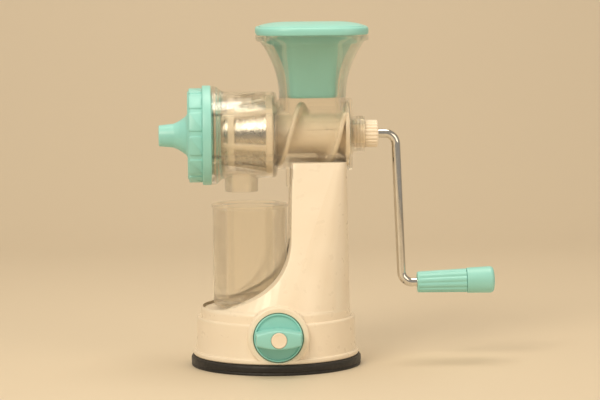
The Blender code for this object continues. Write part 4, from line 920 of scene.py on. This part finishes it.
@dataclass
class JuicerBody(Assembly):
    """Clear chamber, barrel, neck, hopper, spout and leg."""

    chamber: float = 38.5
    chamber_left: float = -52.0
    chamber_right: float = 2.2
    rim: float = 44.0
    rim_left: float = -56.0
    wall: float = 2.4
    neck: float = 16.0
    neck_end: float = 80.7
    hopper_top: float = 295.0

    def hopper(self, name: str, inset: float, low: float, high: float) -> bpy.types.Object:
        """The hopper's solid, a straight neck that flares towards the top.

        Args:
            name: Name of the object.
            inset: How far the sides are moved in.
            low: Lowest section.
            high: Highest section.

        Returns:
            The solid.
        """
        base = AXIS + BARREL
        start = base + 4.0
        levels = 16
        rings = []
        for z in [low] + [start + (high - start) * i / levels for i in range(levels + 1)]:
            rise = max(0.0, z - base) / (self.hopper_top - 7.5 - base)
            grow = 15.6 * min(rise, 1.1) ** 2.2
            rings.append(hopper_ring(z, HOPPER_HALF, HOPPER_CORNER, grow - inset))
        return Bench.loft(name, rings)

    def lip(self) -> bpy.types.Object:
        """The rounded rim round the hopper's mouth."""
        return Bench.loft("hopper_lip", [
            hopper_ring(z, HOPPER_HALF, HOPPER_CORNER, out) for out, z in (
                (19.5, 290.0), (20.3, 290.3), (20.6, 291.1), (20.6, 293.9), (20.3, 294.7),
                (19.5, 295.0))])

    def body(self) -> bpy.types.Object:
        """The clear moulding.

        Returns:
            The piece.
        """
        flange = BARREL + 0.8
        outer = fillet([
            (0, self.neck_end, 0), (self.neck, self.neck_end, 0.5), (self.neck, 70.8, 1.2),
            (flange - 4.0, 69.0, 0.6), (flange, 69.0, 0.6), (flange, 63.2, 0.5),
            (BARREL, 63.2, 0.3), (BARREL, self.chamber_right, 1.6),
            (self.chamber, self.chamber_right, 4.0), (self.chamber, -45.5, 9.0),
            (self.rim, self.chamber_left, 0.8), (self.rim, self.rim_left, 0.7),
            (0, self.rim_left, 0)], 6)
        body = Bench.turned("clear_body", outer, DRIVE, 120)
        inside = AXIS + 14.5
        leg = Bench.prism("leg", fillet([(10.4, -12, 0.6), (13.4, -12, 0.6), (13.4, 12, 0.6),
                                         (10.4, 12, 0.6)], 3), 159.6, 181.3)
        spout = Bench.turned("spout", fillet([(0, 175.3, 0), (15.0, 175.3, 0), (15.0, 155.7, 0.6),
                                              (0, 155.7, 0)], 3), frame_matrix((SPOUT_X, 0, 0)), 72)
        bosses = [Bench.rod(f"boss_{x}", 5, 181.3, 167.8, frame_matrix((x, 0, 0)), 32)
                  for x in HEAD_SCREWS]
        Bench.combine(body, Operation.JOIN,
                      self.hopper("hopper", 0.0, inside, self.hopper_top - GAP), self.lip(),
                      spout, leg, *bosses)
        bore = Bench.turned("bore", fillet([
            (0, 82.7, 0), (13, 82.7, 0), (13, 66.6, 0.4), (29, 66.6, 1.0), (29, -0.2, 1.0),
            (36.1, -0.2, 2.4), (36.1, -58, 0), (0, -58, 0)], 4), DRIVE, 120, 1.5)
        throat = self.hopper("throat", self.wall, inside, self.hopper_top + 2.0)
        outlet = Bench.rod("outlet", 13, AXIS, 153, frame_matrix((SPOUT_X, 0, 0)), 72, 2.5)
        pilots = [Bench.rod(f"pilot_{x}", 2, 173.4, 165.5, frame_matrix((x, 0, 0)), 24)
                  for x in HEAD_SCREWS]
        Bench.combine(body, Operation.CUT, bore, throat, outlet, *pilots)
        rails = []
        for k in range(6):
            angle = math.radians(57.0 + 60.0 * k)
            place = DRIVE @ Matrix.Rotation(angle, 4, "Z")
            rails.append(Bench.prism(f"rail_{k}", fillet([
                (35.2, -0.8, 0.4), (36.9, -0.8, 0), (36.9, 0.8, 0), (35.2, 0.8, 0.4)], 3),
                -47.0, -1.2, place))
        Bench.combine(body, Operation.JOIN, *rails)
        Bench.clean(body, 0.0, 0.004)
        Bench.soften(body, 0.35, 40.0, 2)
        return body

    def build(self) -> None:
        """Build and dress the clear body."""
        self.dress(self.body(), "clear_polycarbonate", "base", "juicer_body", angle=38.0)


# ---------------------------------------------------------------- auger and strainer

def strainer_radius(x: float) -> float:
    """Outer radius of the perforated cone at x."""
    return 22.8 + (30.3 - 22.8) * (x + 50.0) / 47.0


@dataclass
class Auger(Assembly):
    """White feed screw on its steel shaft."""

    core: float = 17.0
    pitch: float = 44.0
    phase: float = 38.0

    def limit(self, x: float) -> float:
        """Largest radius of the flight at x."""
        cone = strainer_radius(max(-50.0, min(x, -3.0))) - 1.8
        share = min(1.0, max(0.0, (x + 3.0) / 5.2))
        return cone + (28.1 - cone) * share

    def flight(self) -> bpy.types.Object:
        """The screw flight with a rounded crest and a wide root.

        Returns:
            The flight as a closed solid.
        """
        start, travel = -46.4, 109.3
        steps = math.ceil(travel / self.pitch * 72)
        turn = -2.0 * math.pi * steps / 72
        section = [(8.5, -3.4), (15.6, -3.3), (17.4, -2.8), (19.4, -2.5), (25.6, -2.2),
                   (27.2, -1.9), (27.9, -1.1), (28.1, 0.0), (27.9, 1.1), (27.2, 1.9),
                   (25.6, 2.2), (19.4, 2.5), (17.4, 2.8), (15.6, 3.3), (8.5, 3.4)]
        bm = bmesh.new()
        verts = [bm.verts.new((r, 0.0, start + h)) for r, h in section]
        face = bm.faces.new(verts)
        geom = [face, *face.edges, *face.verts]
        bmesh.ops.rotate(bm, verts=bm.verts, cent=(0, 0, 0),
                         matrix=Matrix.Rotation(math.radians(self.phase), 3, "Z"))
        bmesh.ops.spin(bm, geom=geom, axis=(0, 0, 1), cent=(0, 0, 0), angle=turn,
                       dvec=(0, 0, travel / steps), steps=steps)
        for vert in bm.verts:
            radius = math.hypot(vert.co.x, vert.co.y)
            scale = (8.5 + (radius - 8.5) * (self.limit(vert.co.z) - 8.5) / 19.6) / radius
            vert.co.x *= scale
            vert.co.y *= scale
        return Bench.link("flight", bm, DRIVE)

    def screw(self) -> bpy.types.Object:
        """Core, rear disc and flight as one moulding."""
        screw = Bench.turned("feed_screw", fillet([
            (0, 66.3, 0), (28.5, 66.3, 0.5), (28.5, 62.9, 0.5), (20.4, 62.9, 2.5),
            (self.core, 57.0, 3.0), (self.core, -3.0, 4.0), (13.6, -50.0, 3.0),
            (6.4, -77.0, 2.0), (5.2, -80.6, 2.4), (0, -81.0, 0)], 5), DRIVE, 96, 1.9)
        Bench.combine(screw, Operation.JOIN, self.flight())
        Bench.combine(screw, Operation.CUT,
                      Bench.rod("shaft_bore", SHAFT_BORE, 69, 19.7, DRIVE, 40))
        Bench.clean(screw, 0.2)
        Bench.soften(screw, 0.3, 45.0, 2)
        return screw

    def shaft(self) -> bpy.types.Object:
        """Steel drive shaft with chamfered ends."""
        return Bench.turned("drive_shaft", fillet([
            (0, 86.0, 0), (5.0, 86.0, 0.6), (5.0, 20.0, 0.6), (0, 20.0, 0)], 3), DRIVE, 48)

    def build(self) -> None:
        """Build and dress the auger, its shaft, bush and seal."""
        self.dress(self.screw(), "white_abs", "drive", "auger")
        self.dress(self.shaft(), "steel", "drive", "auger_shaft")
        collars = []
        for k in range(4):
            high = 80.4 - 2.75 * k
            collars += [(12.7, high, 0.3), (12.7, high - 1.75, 0.3), (11.9, high - 1.9, 0.1),
                        (11.9, high - 2.6, 0.1)]
        bush = Bench.turned("neck_bush", fillet(
            [(5.3, 80.4, 0.5)] + collars[:-2] + [(5.3, 70.4, 0.5)], 3), DRIVE)
        self.dress(bush, "white_abs", "base", "rear_bush")
        seal = Bench.turned("neck_seal", fillet([
            (5.3, 69.3, 0.3), (12.7, 69.3, 0.6), (12.7, 66.9, 0.6), (5.3, 66.9, 0.3)], 3), DRIVE)
        self.dress(seal, "milky_silicone", "base", "rear_seal")


@dataclass
class Strainer(Assembly):
    """Perforated steel cone in a white cage."""

    columns: int = 72
    rows: int = 24
    hole: float = 1.15
    sheet: float = 0.7

    def cone(self) -> bpy.types.Object:
        """The perforated cone: a grid with round holes, wrapped round the axis.

        Returns:
            The piece.
        """
        bm = bmesh.new()
        bmesh.ops.create_grid(bm, x_segments=self.columns, y_segments=self.rows, size=0.5)
        spacing = Vector((1.0 / self.columns, 1.0 / self.rows))
        chosen = []
        for vert in bm.verts:
            i = round((vert.co.x + 0.5) / spacing.x)
            j = round((vert.co.y + 0.5) / spacing.y)
            inside = 0 < i < self.columns and 1 < j < self.rows - 1
            if inside and j % 2 == 0 and i % 2 == (j // 2) % 2:
                chosen.append(vert)
        height = 47.6
        for vert in bm.verts:
            vert.co.x *= 166.0
            vert.co.y *= height
        made = bmesh.ops.bevel(bm, geom=chosen, affect="VERTICES", offset=self.hole,
                               offset_type="OFFSET", segments=2, profile=0.5, material=-1)
        holes = [face for face in made["faces"] if len(face.verts) == 8]
        for face in holes:
            centre = face.calc_center_median()
            for vert in face.verts:
                vert.co = centre + (vert.co - centre).normalized() * self.hole
        bmesh.ops.delete(bm, geom=holes, context="FACES_ONLY")
        for vert in bm.verts:
            angle = 2 * math.pi * (vert.co.x / 166.0 + 0.5)
            x = -50.0 + 47.0 * (vert.co.y / height + 0.5)
            radius = strainer_radius(x) - 0.05
            vert.co = Vector((radius * math.cos(angle), radius * math.sin(angle), x))
        bmesh.ops.remove_doubles(bm, verts=bm.verts, dist=0.01)
        piece = Bench.link("strainer_cone", bm, DRIVE)
        sheet = piece.modifiers.new("sheet", "SOLIDIFY")
        sheet.thickness = self.sheet * MM
        sheet.offset = -1.0
        Bench.bake(piece)
        return piece

    def cage(self) -> bpy.types.Object:
        """Three rings and six ribs round the cone."""
        def hoop(name: str, high: float, low: float, reach: float) -> bpy.types.Object:
            """One ring just outside the cone."""
            inner_high, inner_low = strainer_radius(high) + GAP, strainer_radius(low) + GAP
            return Bench.turned(name, fillet([
                (inner_high, high, 0.2), (inner_high + reach, high, 0.7),
                (inner_low + reach, low, 0.7), (inner_low, low, 0.2)], 4), DRIVE, 120)

        cage = hoop("strainer_cage", -2.0, -8.0, 4.2)
        slope = math.atan2(7.5, 47.0)
        span, centre = 24.3, -26.6
        ribs = []
        for i in range(6):
            place = (DRIVE @ Matrix.Rotation(math.radians(60.0 * (i + 0.8)), 4, "Z")
                     @ Matrix.Translation(Vector((strainer_radius(centre) + 1.9, 0, centre)) * MM)
                     @ Matrix.Rotation(slope, 4, "Y"))
            ribs.append(Bench.prism(f"rib_{i}", fillet([
                (-1.15, -2.7, 0.2), (1.15, -2.7, 0.8), (1.15, 2.7, 0.8), (-1.15, 2.7, 0.2)], 3),
                -span, span, place))
        Bench.combine(cage, Operation.JOIN, hoop("ring_middle", -35.6, -41.6, 2.6),
                      hoop("ring_left", -46.4, -52.4, 2.6), *ribs)
        Bench.clean(cage)
        return cage

    def build(self) -> None:
        """Build and dress the strainer."""
        self.dress(self.cone(), "steel", "base", "strainer_mesh", angle=25.0)
        self.dress(self.cage(), "white_abs", "base", "strainer_frame")


# ---------------------------------------------------------------- front cap

@dataclass
class FrontCap(Assembly):
    """Turquoise cap with wide grip pads and a flared pulp nozzle."""

    flange: float = 44.4
    flange_right: float = -56.3
    flange_left: float = -64.2
    face: float = -77.3
    drum: float = 41.0
    pads: int = 12

    def cap(self) -> bpy.types.Object:
        """The cap's moulding.

        Returns:
            The piece.
        """
        spigot, end, groove = 35.5, -50.3, 33.5
        waist, tip = self.face - 12.3, self.face - 25.7
        profile = fillet([
            (31.4, end, 0.6), (spigot, end, 0.6), (spigot, -51.95, 0.1), (groove, -51.95, 0.1),
            (groove, -54.65, 0.1), (spigot, -54.65, 0.1), (spigot, self.flange_right, 0.2),
            (self.flange, self.flange_right, 0.8), (self.flange, self.flange_left, 1.2),
            (self.drum, self.flange_left, 0.5), (self.drum, self.face + 2.4, 2.0),
            (38.6, self.face, 1.4), (19.6, self.face, 1.5), (17.0, self.face - 1.6, 1.5),
            (13.0, self.face - 7.4, 9.0), (10.7, waist, 8.0), (9.3, tip, 1.3), (7.5, tip, 0.5),
            (8.8, waist, 5.0),
            (13.0, self.face - 3.0, 5.0), (16.6, self.face + 2.4, 1.5),
            (38.6, self.face + 2.4, 1.5), (38.6, self.flange_left, 0.6),
            (31.4, self.flange_left + 2.4, 0.6)], 5)
        cap = Bench.turned("cap_moulding", profile, DRIVE, 144)
        pads = []
        for i in range(self.pads):
            angle = 2 * math.pi * (i + 0.3) / self.pads
            place = DRIVE @ Matrix.Rotation(angle, 4, "Z") @ Matrix.Rotation(math.pi / 2, 4, "Y")
            pads.append(self.grip_pad(f"grip_pad_{i}", place))
        Bench.combine(cap, Operation.JOIN, *pads)
        Bench.clean(cap, 0.2)
        Bench.soften(cap, 0.3, 42.0, 2)
        return cap

    def grip_pad(self, name: str, place: Matrix) -> bpy.types.Object:
        """One raised pad along the drum.

        Args:
            name: Name of the object.
            place: Frame whose Z points away from the axis and X along it, to the left.

        Returns:
            The pad.
        """
        long_half = (self.flange_left - self.face - 2.2) / 2
        middle = -(self.flange_left + self.face + 1.6) / 2
        rings = []
        for shrink, height in ((0.0, 38.4), (0.0, 41.35), (0.25, 41.75), (0.8, 42.0)):
            outline = oval(long_half - shrink + 0.6, 8.6 - shrink, 1.6, (middle, 0.0), 6)
            rings.append([(x, y, height - (y * y) / 84.0) for x, y in outline])
        return Bench.loft(name, rings, place)

    def build(self) -> None:
        """Build and dress the cap and its sealing ring."""
        self.dress(self.cap(), "turquoise_abs", "cap", "front_cap")
        seal = Bench.turned("cap_seal_ring", fillet([
            (33.8, -52.25, 0.5), (35.8, -52.25, 0.8), (35.8, -54.35, 0.8), (33.8, -54.35, 0.5)],
            4), DRIVE)
        self.dress(seal, "milky_silicone", "cap_ring", "front_seal")


# ---------------------------------------------------------------- pusher

@dataclass
class Pusher(Assembly):
    """Turquoise pusher: hollow plug with a flange, and its domed cover."""

    low: float = 238.9
    collar_low: float = 287.5
    flange_low: float = 295.3
    flange_top: float = 302.3

    def plug_shape(self, name: str, inset: float, low: float, high: float) -> bpy.types.Object:
        """The plug's solid below its collar.

        Args:
            name: Name of the object.
            inset: How far the sides are moved in.
            low: Lowest section.
            high: Highest section.

        Returns:
            The solid.
        """
        rings = []
        levels = 16
        heights = [low + (high - low) * i / levels for i in range(levels + 1)]
        for k, z in enumerate(heights):
            rise = max(0.0, z - self.low) / (self.collar_low - self.low)
            grow = 13.5 * rise ** 2.4
            if inset == 0.0 and k == 0:
                rings += [hopper_ring(z + lift, PLUG_HALF, PLUG_CORNER, -pull)
                          for pull, lift in ((2.4, 0.0), (0.9, 0.5), (0.2, 1.4))]
                continue
            rings.append(hopper_ring(z, PLUG_HALF, PLUG_CORNER, grow - inset))
        return Bench.loft(name, rings)

    def slab(self, name: str, out: float, foot: Point, corner: float,
             steps: Sequence[Point]) -> bpy.types.Object:
        """A rounded rectangle over the hopper's centre, with a profiled edge.

        Args:
            name: Name of the object.
            out: How far the outline stands out from the foot's.
            foot: Half width and half depth that out is added to.
            corner: Corner radius before out is added.
            steps: (shrink, height) of each section.

        Returns:
            The solid.
        """
        return Bench.loft(name, [hopper_ring(z, foot, corner, out - shrink)
                                 for shrink, z in steps])

    def plug(self) -> bpy.types.Object:
        """Plug, collar and flange as one hollow moulding.

        Returns:
            The piece.
        """
        foot, neck = PLUG_HALF, HOPPER_HALF
        plug = self.plug_shape("pusher_moulding", 0.0, self.low, self.collar_low + 2.0)
        collar = self.slab("collar", 18.0, foot, PLUG_CORNER, (
            (0.8, self.collar_low), (0.0, self.collar_low + 0.8), (0.0, self.flange_low + 2.0)))
        flange = self.slab("flange", 20.6, neck, HOPPER_CORNER, (
            (1.4, self.flange_low), (0.5, self.flange_low + 0.4), (0.0, self.flange_low + 1.4),
            (0.0, self.flange_top - 2.0), (0.5, self.flange_top - 0.8),
            (1.3, self.flange_top - 0.15), (2.2, self.flange_top)))
        Bench.combine(plug, Operation.JOIN, collar, flange)
        well = self.plug_shape("well", 2.4, self.low + 2.4, self.collar_low + 2.4)
        mouth = self.slab("mouth", 15.6, foot, 12.4, (
            (0.0, self.collar_low + 1.2), (0.0, self.flange_top + 2.0)))
        seat = self.slab("seat", 17.6, neck, HOPPER_CORNER, (
            (0.0, self.flange_top - 2.4), (0.0, self.flange_top + 2.0)))
        Bench.combine(plug, Operation.CUT, well, mouth, seat)
        Bench.clean(plug)
        Bench.soften(plug, 0.35, 42.0, 2)
        return plug

    def cover(self) -> bpy.types.Object:
        """Domed cover in the flange's top.

        Returns:
            The piece.
        """
        top = self.flange_top
        steps = [(0.0, top - 2.1), (0.0, top - 0.1), (0.25, top + 0.25)]
        steps += [(0.5 + 24.0 * (i / 14) ** 1.15,
                   top + 3.5 * math.sin(math.pi / 2 * min(1.0, 0.12 + i / 14)))
                  for i in range(15)]
        cover = self.slab("pusher_dome", 17.3, HOPPER_HALF, HOPPER_CORNER, steps)
        hollow = self.slab("dome_hollow", 8.6, HOPPER_HALF, HOPPER_CORNER, (
            (0.0, top - 4.0), (0.0, top + 0.6)))
        return Bench.combine(cover, Operation.CUT, hollow)

    def build(self) -> None:
        """Build and dress the pusher."""
        self.dress(self.plug(), "turquoise_abs", "pusher", "pusher_plug")
        self.dress(self.cover(), "turquoise_abs", "pusher", "pusher_cover")


# ---------------------------------------------------------------- crank

@dataclass
class Crank(Assembly):
    """White fluted nut, bent chromed rod and turquoise grip."""

    nut_left: float = 81.0
    nut_right: float = 92.7
    nut_radius: float = 12.2
    flutes: int = 22
    throw: float = 134.7
    rod_top: float = 108.4
    lean: float = 5.2
    tilt: float = 1.3
    rod: float = 4.0
    sleeve: float = 44.6
    length: float = 69.6

    def direction(self) -> Vector:
        """Unit vector along the grip."""
        tilt = math.radians(self.tilt)
        return Vector((math.cos(tilt), 0.0, math.sin(tilt)))

    def grip_frame(self) -> Matrix:
        """Frame of the grip: its origin is the sleeve's start, its Z along the grip."""
        corner = Vector((self.rod_top + self.lean, 0.0, AXIS - self.throw))
        return frame_matrix(corner + self.direction() * 13.8, (0.0, 90.0 - self.tilt, 0.0))

    def fluted(self, name: str, radius: Callable[[float], float], flutes: int, depth: float,
               levels: Iterable[Point], place: Matrix) -> bpy.types.Object:
        """A turned solid with rounded flutes along it.

        Args:
            name: Name of the object.
            radius: Radius at a height.
            flutes: Number of flutes.
            depth: Depth of a flute.
            levels: (height, share of the flute's depth) of each section.
            place: Frame of the sub-assembly.

        Returns:
            The solid.
        """
        count = flutes * 12
        rings = []
        for height, share in levels:
            ring = []
            for i in range(count):
                turn = 2 * math.pi * i / count
                wave = (0.5 + 0.5 * math.cos(flutes * turn)) ** 2.0
                reach = radius(height) - depth * share * wave
                ring.append((reach * math.cos(turn), reach * math.sin(turn), height))
            rings.append(ring)
        return Bench.loft(name, rings, place)

    def nut(self) -> bpy.types.Object:
        """White nut: chamfered, fluted, bored for the shaft and the rod.

        Returns:
            The piece.
        """
        left, right, wide = self.nut_left, self.nut_right, self.nut_radius

        def radius(height: float) -> float:
            """Radius with a round at the left end and a long chamfer at the right."""
            into = min(height - left, 0.8)
            away = max(0.0, height - (right - 1.6)) / 1.6
            return wide - 0.8 * (1 - math.sqrt(1 - (1 - into / 0.8) ** 2)) - 1.6 * away ** 2.2

        heights = [left, left + 0.15, left + 0.4, left + 0.8, left + 3.5, right - 1.6,
                   right - 1.1, right - 0.7, right - 0.35, right - 0.12, right]
        nut = self.fluted("nut_moulding", radius, self.flutes, 0.8,
                          [(h, 1.0) for h in heights], DRIVE)
        Bench.combine(nut, Operation.CUT, Bench.rod("nut_bore", SHAFT_BORE, 86.27, 79, DRIVE, 40),
                      Bench.rod("rod_bore", ROD_BORE, 95, 84.3, DRIVE, 36))
        Bench.soften(nut, 0.2, 50.0, 2)
        return nut

    def rod_path(self) -> list[Vector]:
        """Middle line of the bent rod."""
        bottom = Vector((self.rod_top + self.lean, 0.0, AXIS - self.throw))
        spindle = 13.8 + self.sleeve + 2.6 + 0.3 + 2.8
        corners = [Vector((87.0, 0, AXIS)), Vector((self.rod_top, 0, AXIS)), bottom,
                   bottom + self.direction() * (spindle - 0.4)]
        path = [corners[0]]
        for before, corner, after in zip(corners, corners[1:], corners[2:]):
            into, away = (corner - before).normalized(), (after - corner).normalized()
            angle = into.angle(away)
            reach = 10.0 * math.tan(angle / 2)
            start = corner - into * reach
            hub = start + (away - into * into.dot(away)).normalized() * 10.0
            axis = into.cross(away)
            path += [hub + Matrix.Rotation(angle * i / 18, 3, axis) @ (start - hub)
                     for i in range(19)]
        path.append(corners[-1])
        return path

    def grip(self) -> bpy.types.Object:
        """Fluted sleeve.

        Returns:
            The piece.
        """
        end = self.sleeve - GAP

        def radius(height: float) -> float:
            """Radius along the sleeve, rounded at its start."""
            body = 9.4 + 1.3 * height / end
            near = min(height, 1.4)
            return body - 1.2 * (1 - math.sqrt(1 - (1 - near / 1.4) ** 2))

        levels = [(0.0, 0.0), (0.25, 0.0), (0.7, 0.1), (1.4, 0.3), (2.2, 0.7), (3.2, 1.0),
                  (12.0, 1.0), (24.0, 1.0), (36.0, 1.0), (end - 0.4, 1.0), (end, 1.0)]
        sleeve = self.fluted("grip_sleeve", radius, 12, 0.75, levels, self.grip_frame())
        Bench.combine(sleeve, Operation.JOIN,
                      Bench.rod("spigot", 8.6, 47.2, 40, self.grip_frame(), 64))
        Bench.combine(sleeve, Operation.CUT,
                      Bench.rod("grip_bore", ROD_BORE, 50, -2, self.grip_frame(), 40))
        Bench.soften(sleeve, 0.25, 50.0, 2)
        return sleeve

    def end_cap(self) -> bpy.types.Object:
        """Smooth swollen end of the grip."""
        return Bench.turned("grip_end", fillet([
            (0, self.length, 0), (6.0, self.length, 3.0), (12.0, self.length - 1.2, 4.6),
            (11.3, self.sleeve, 0.7), (8.9, self.sleeve, 0.3), (8.9, 53.0, 0.5), (0, 53.0, 0)],
            8), self.grip_frame(), 96)

    def build(self) -> None:
        """Build and dress the crank."""
        self.dress(self.nut(), "white_abs", "drive", "crank_nut", angle=40.0)
        rod = Bench.tube("bent_rod", self.rod_path(), self.rod, sides=40, edge=0.4)
        self.dress(rod, "chromed_steel", "drive", "crank_rod")
        self.dress(self.grip(), "turquoise_abs", "grip", "crank_grip", angle=40.0)
        self.dress(self.end_cap(), "turquoise_abs", "grip", "grip_end_cap")


# ---------------------------------------------------------------- glass

@dataclass
class JuiceGlass(Assembly):
    """Clear glass with a beaded rim."""

    radius: float = 33.3
    height: float = 91.0
    wall: float = 2.0

    def glass(self) -> bpy.types.Object:
        """The glass, turned in one piece."""
        top, wide = self.height, self.radius
        inner = wide - self.wall
        return Bench.turned("clear_glass", fillet([
            (0, 3.5, 0), (inner, 3.5, 5.0), (inner, top - 5.0, 3.0), (inner + 0.2, top, 0.9),
            (wide + 1.0, top, 0.9), (wide + 1.0, top - 2.6, 0.9), (wide, top - 3.6, 0.8),
            (wide, 0, 5.0), (27.0, 0, 0.5), (26.0, 0.7, 0.6), (0, 0.9, 0)], 6),
            frame_matrix((GLASS_X, 0, 53.5)), 128)

    def build(self) -> None:
        """Build and dress the glass."""
        self.dress(self.glass(), "clear_polycarbonate", "glass", "juice_glass")


# ---------------------------------------------------------------- hidden mechanism

def finish_mechanism(nodes: dict[str, bpy.types.Object],
                     finishes: dict[str, bpy.types.Material]) -> None:
    """Give the nodes that keep their own shape a proper finish.

    Args:
        nodes: Node name to object.
        finishes: Slot name to material.
    """
    slots = {"base_plate": "grey_acetal", "lift_yoke": "grey_acetal", "cam_shaft": "steel",
             "shaft_clip": "steel", "knob_screw": "steel", "head_screw_left": "steel",
             "head_screw_right": "steel", "grip_retainer": "steel"}
    slots.update({f"plate_screw_{i}": "steel" for i in range(1, 5)})
    for name, slot in slots.items():
        node = nodes[name]
        node.data.materials.clear()
        node.data.materials.append(finishes[slot])
        LOG.info("%s: %s", name, slot)


# ---------------------------------------------------------------- studio

@dataclass
class Studio:
    """Pale floor, soft lights and the camera."""

    floor: str = "D9CBB4"
    sky: str = "EFE6D8"

    def backdrop(self) -> None:
        """A pale floor that curves up behind the object."""
        bm = bmesh.new()
        line = [(-1.6, 0.0)] + [(0.9 + 0.7 * math.sin(t), 0.7 - 0.7 * math.cos(t))
                                for t in (math.pi / 2 * i / 16 for i in range(17))] + [(1.6, 3.0)]
        verts = [bm.verts.new((-3.0, y, z)) for y, z in line]
        edges = [bm.edges.new(pair) for pair in zip(verts, verts[1:])]
        moved = bmesh.ops.extrude_edge_only(bm, edges=edges)["geom"]
        bmesh.ops.translate(bm, vec=(6.0, 0, 0),
                            verts=[v for v in moved if isinstance(v, bmesh.types.BMVert)])
        bmesh.ops.recalc_face_normals(bm, faces=bm.faces)
        mesh = bpy.data.meshes.new("floor")
        bm.to_mesh(mesh)
        bm.free()
        floor = bpy.data.objects.new("floor", mesh)
        bpy.context.scene.collection.objects.link(floor)
        for face in mesh.polygons:
            face.use_smooth = True
        graph = Graph("pale_floor")
        graph.set(Base_Color=linear(self.floor), Roughness=0.55)
        mesh.materials.append(graph.material)

    def light(self, name: str, place: Sequence[float], size: float, power: float,
              colour: str) -> None:
        """A soft square light that faces the object.

        Args:
            name: Name of the light.
            place: Position in metres.
            size: Side in metres.
            power: Watts.
            colour: sRGB hex code.
        """
        data = bpy.data.lights.new(name, "AREA")
        data.size = size
        data.energy = power
        data.color = linear(colour)[:3]
        lamp = bpy.data.objects.new(name, data)
        lamp.location = place
        aim = Vector((0.02, 0.0, 0.15)) - Vector(place)
        lamp.rotation_euler = aim.to_track_quat("-Z", "Y").to_euler()
        bpy.context.scene.collection.objects.link(lamp)

    def build(self) -> None:
        """Build the floor, lights, world and camera."""
        self.backdrop()
        self.light("key", (-0.9, -1.5, 1.5), 0.9, 27.5, "FFF1DA")
        self.light("fill", (1.5, -1.3, 0.9), 1.2, 9.0, "FFE9CC")
        self.light("top", (0.1, 0.2, 1.7), 1.0, 14.5, "FFF3E0")
        world = bpy.data.worlds.new("studio")
        world.use_nodes = True
        back = world.node_tree.nodes["Background"]
        back.inputs["Color"].default_value = linear(self.sky)
        back.inputs["Strength"].default_value = 0.42
        scene = bpy.context.scene
        scene.world = world
        scene.view_settings.view_transform = "Standard"
        camera = bpy.data.cameras.new("camera")
        camera.lens = 168.4
        camera.sensor_width = 36.0
        camera.clip_end = 20.0
        viewer = bpy.data.objects.new("camera", camera)
        viewer.location = (-0.0742, -2.4989, 0.389)
        aim = Vector((0.0226, 0.0, 0.147)) - viewer.location
        turn = aim.to_track_quat("-Z", "Y").to_matrix() @ Matrix.Rotation(math.radians(-0.5), 3,
                                                                          "Z")
        viewer.rotation_euler = turn.to_euler()
        scene.collection.objects.link(viewer)
        scene.camera = viewer


def main() -> None:
    """Build every sub-assembly, the studio and the size note."""
    logging.basicConfig(level=logging.INFO, format="%(name)s %(message)s")
    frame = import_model()
    finishes = make_finishes()
    for kind in (Stand, LockKnob, JuicerBody, Auger, Strainer, FrontCap, Pusher, Crank,
                 JuiceGlass):
        kind(finishes).build()
    finish_mechanism(frame["nodes"], finishes)
    Studio().build()


if __name__ == "__main__":
    main()
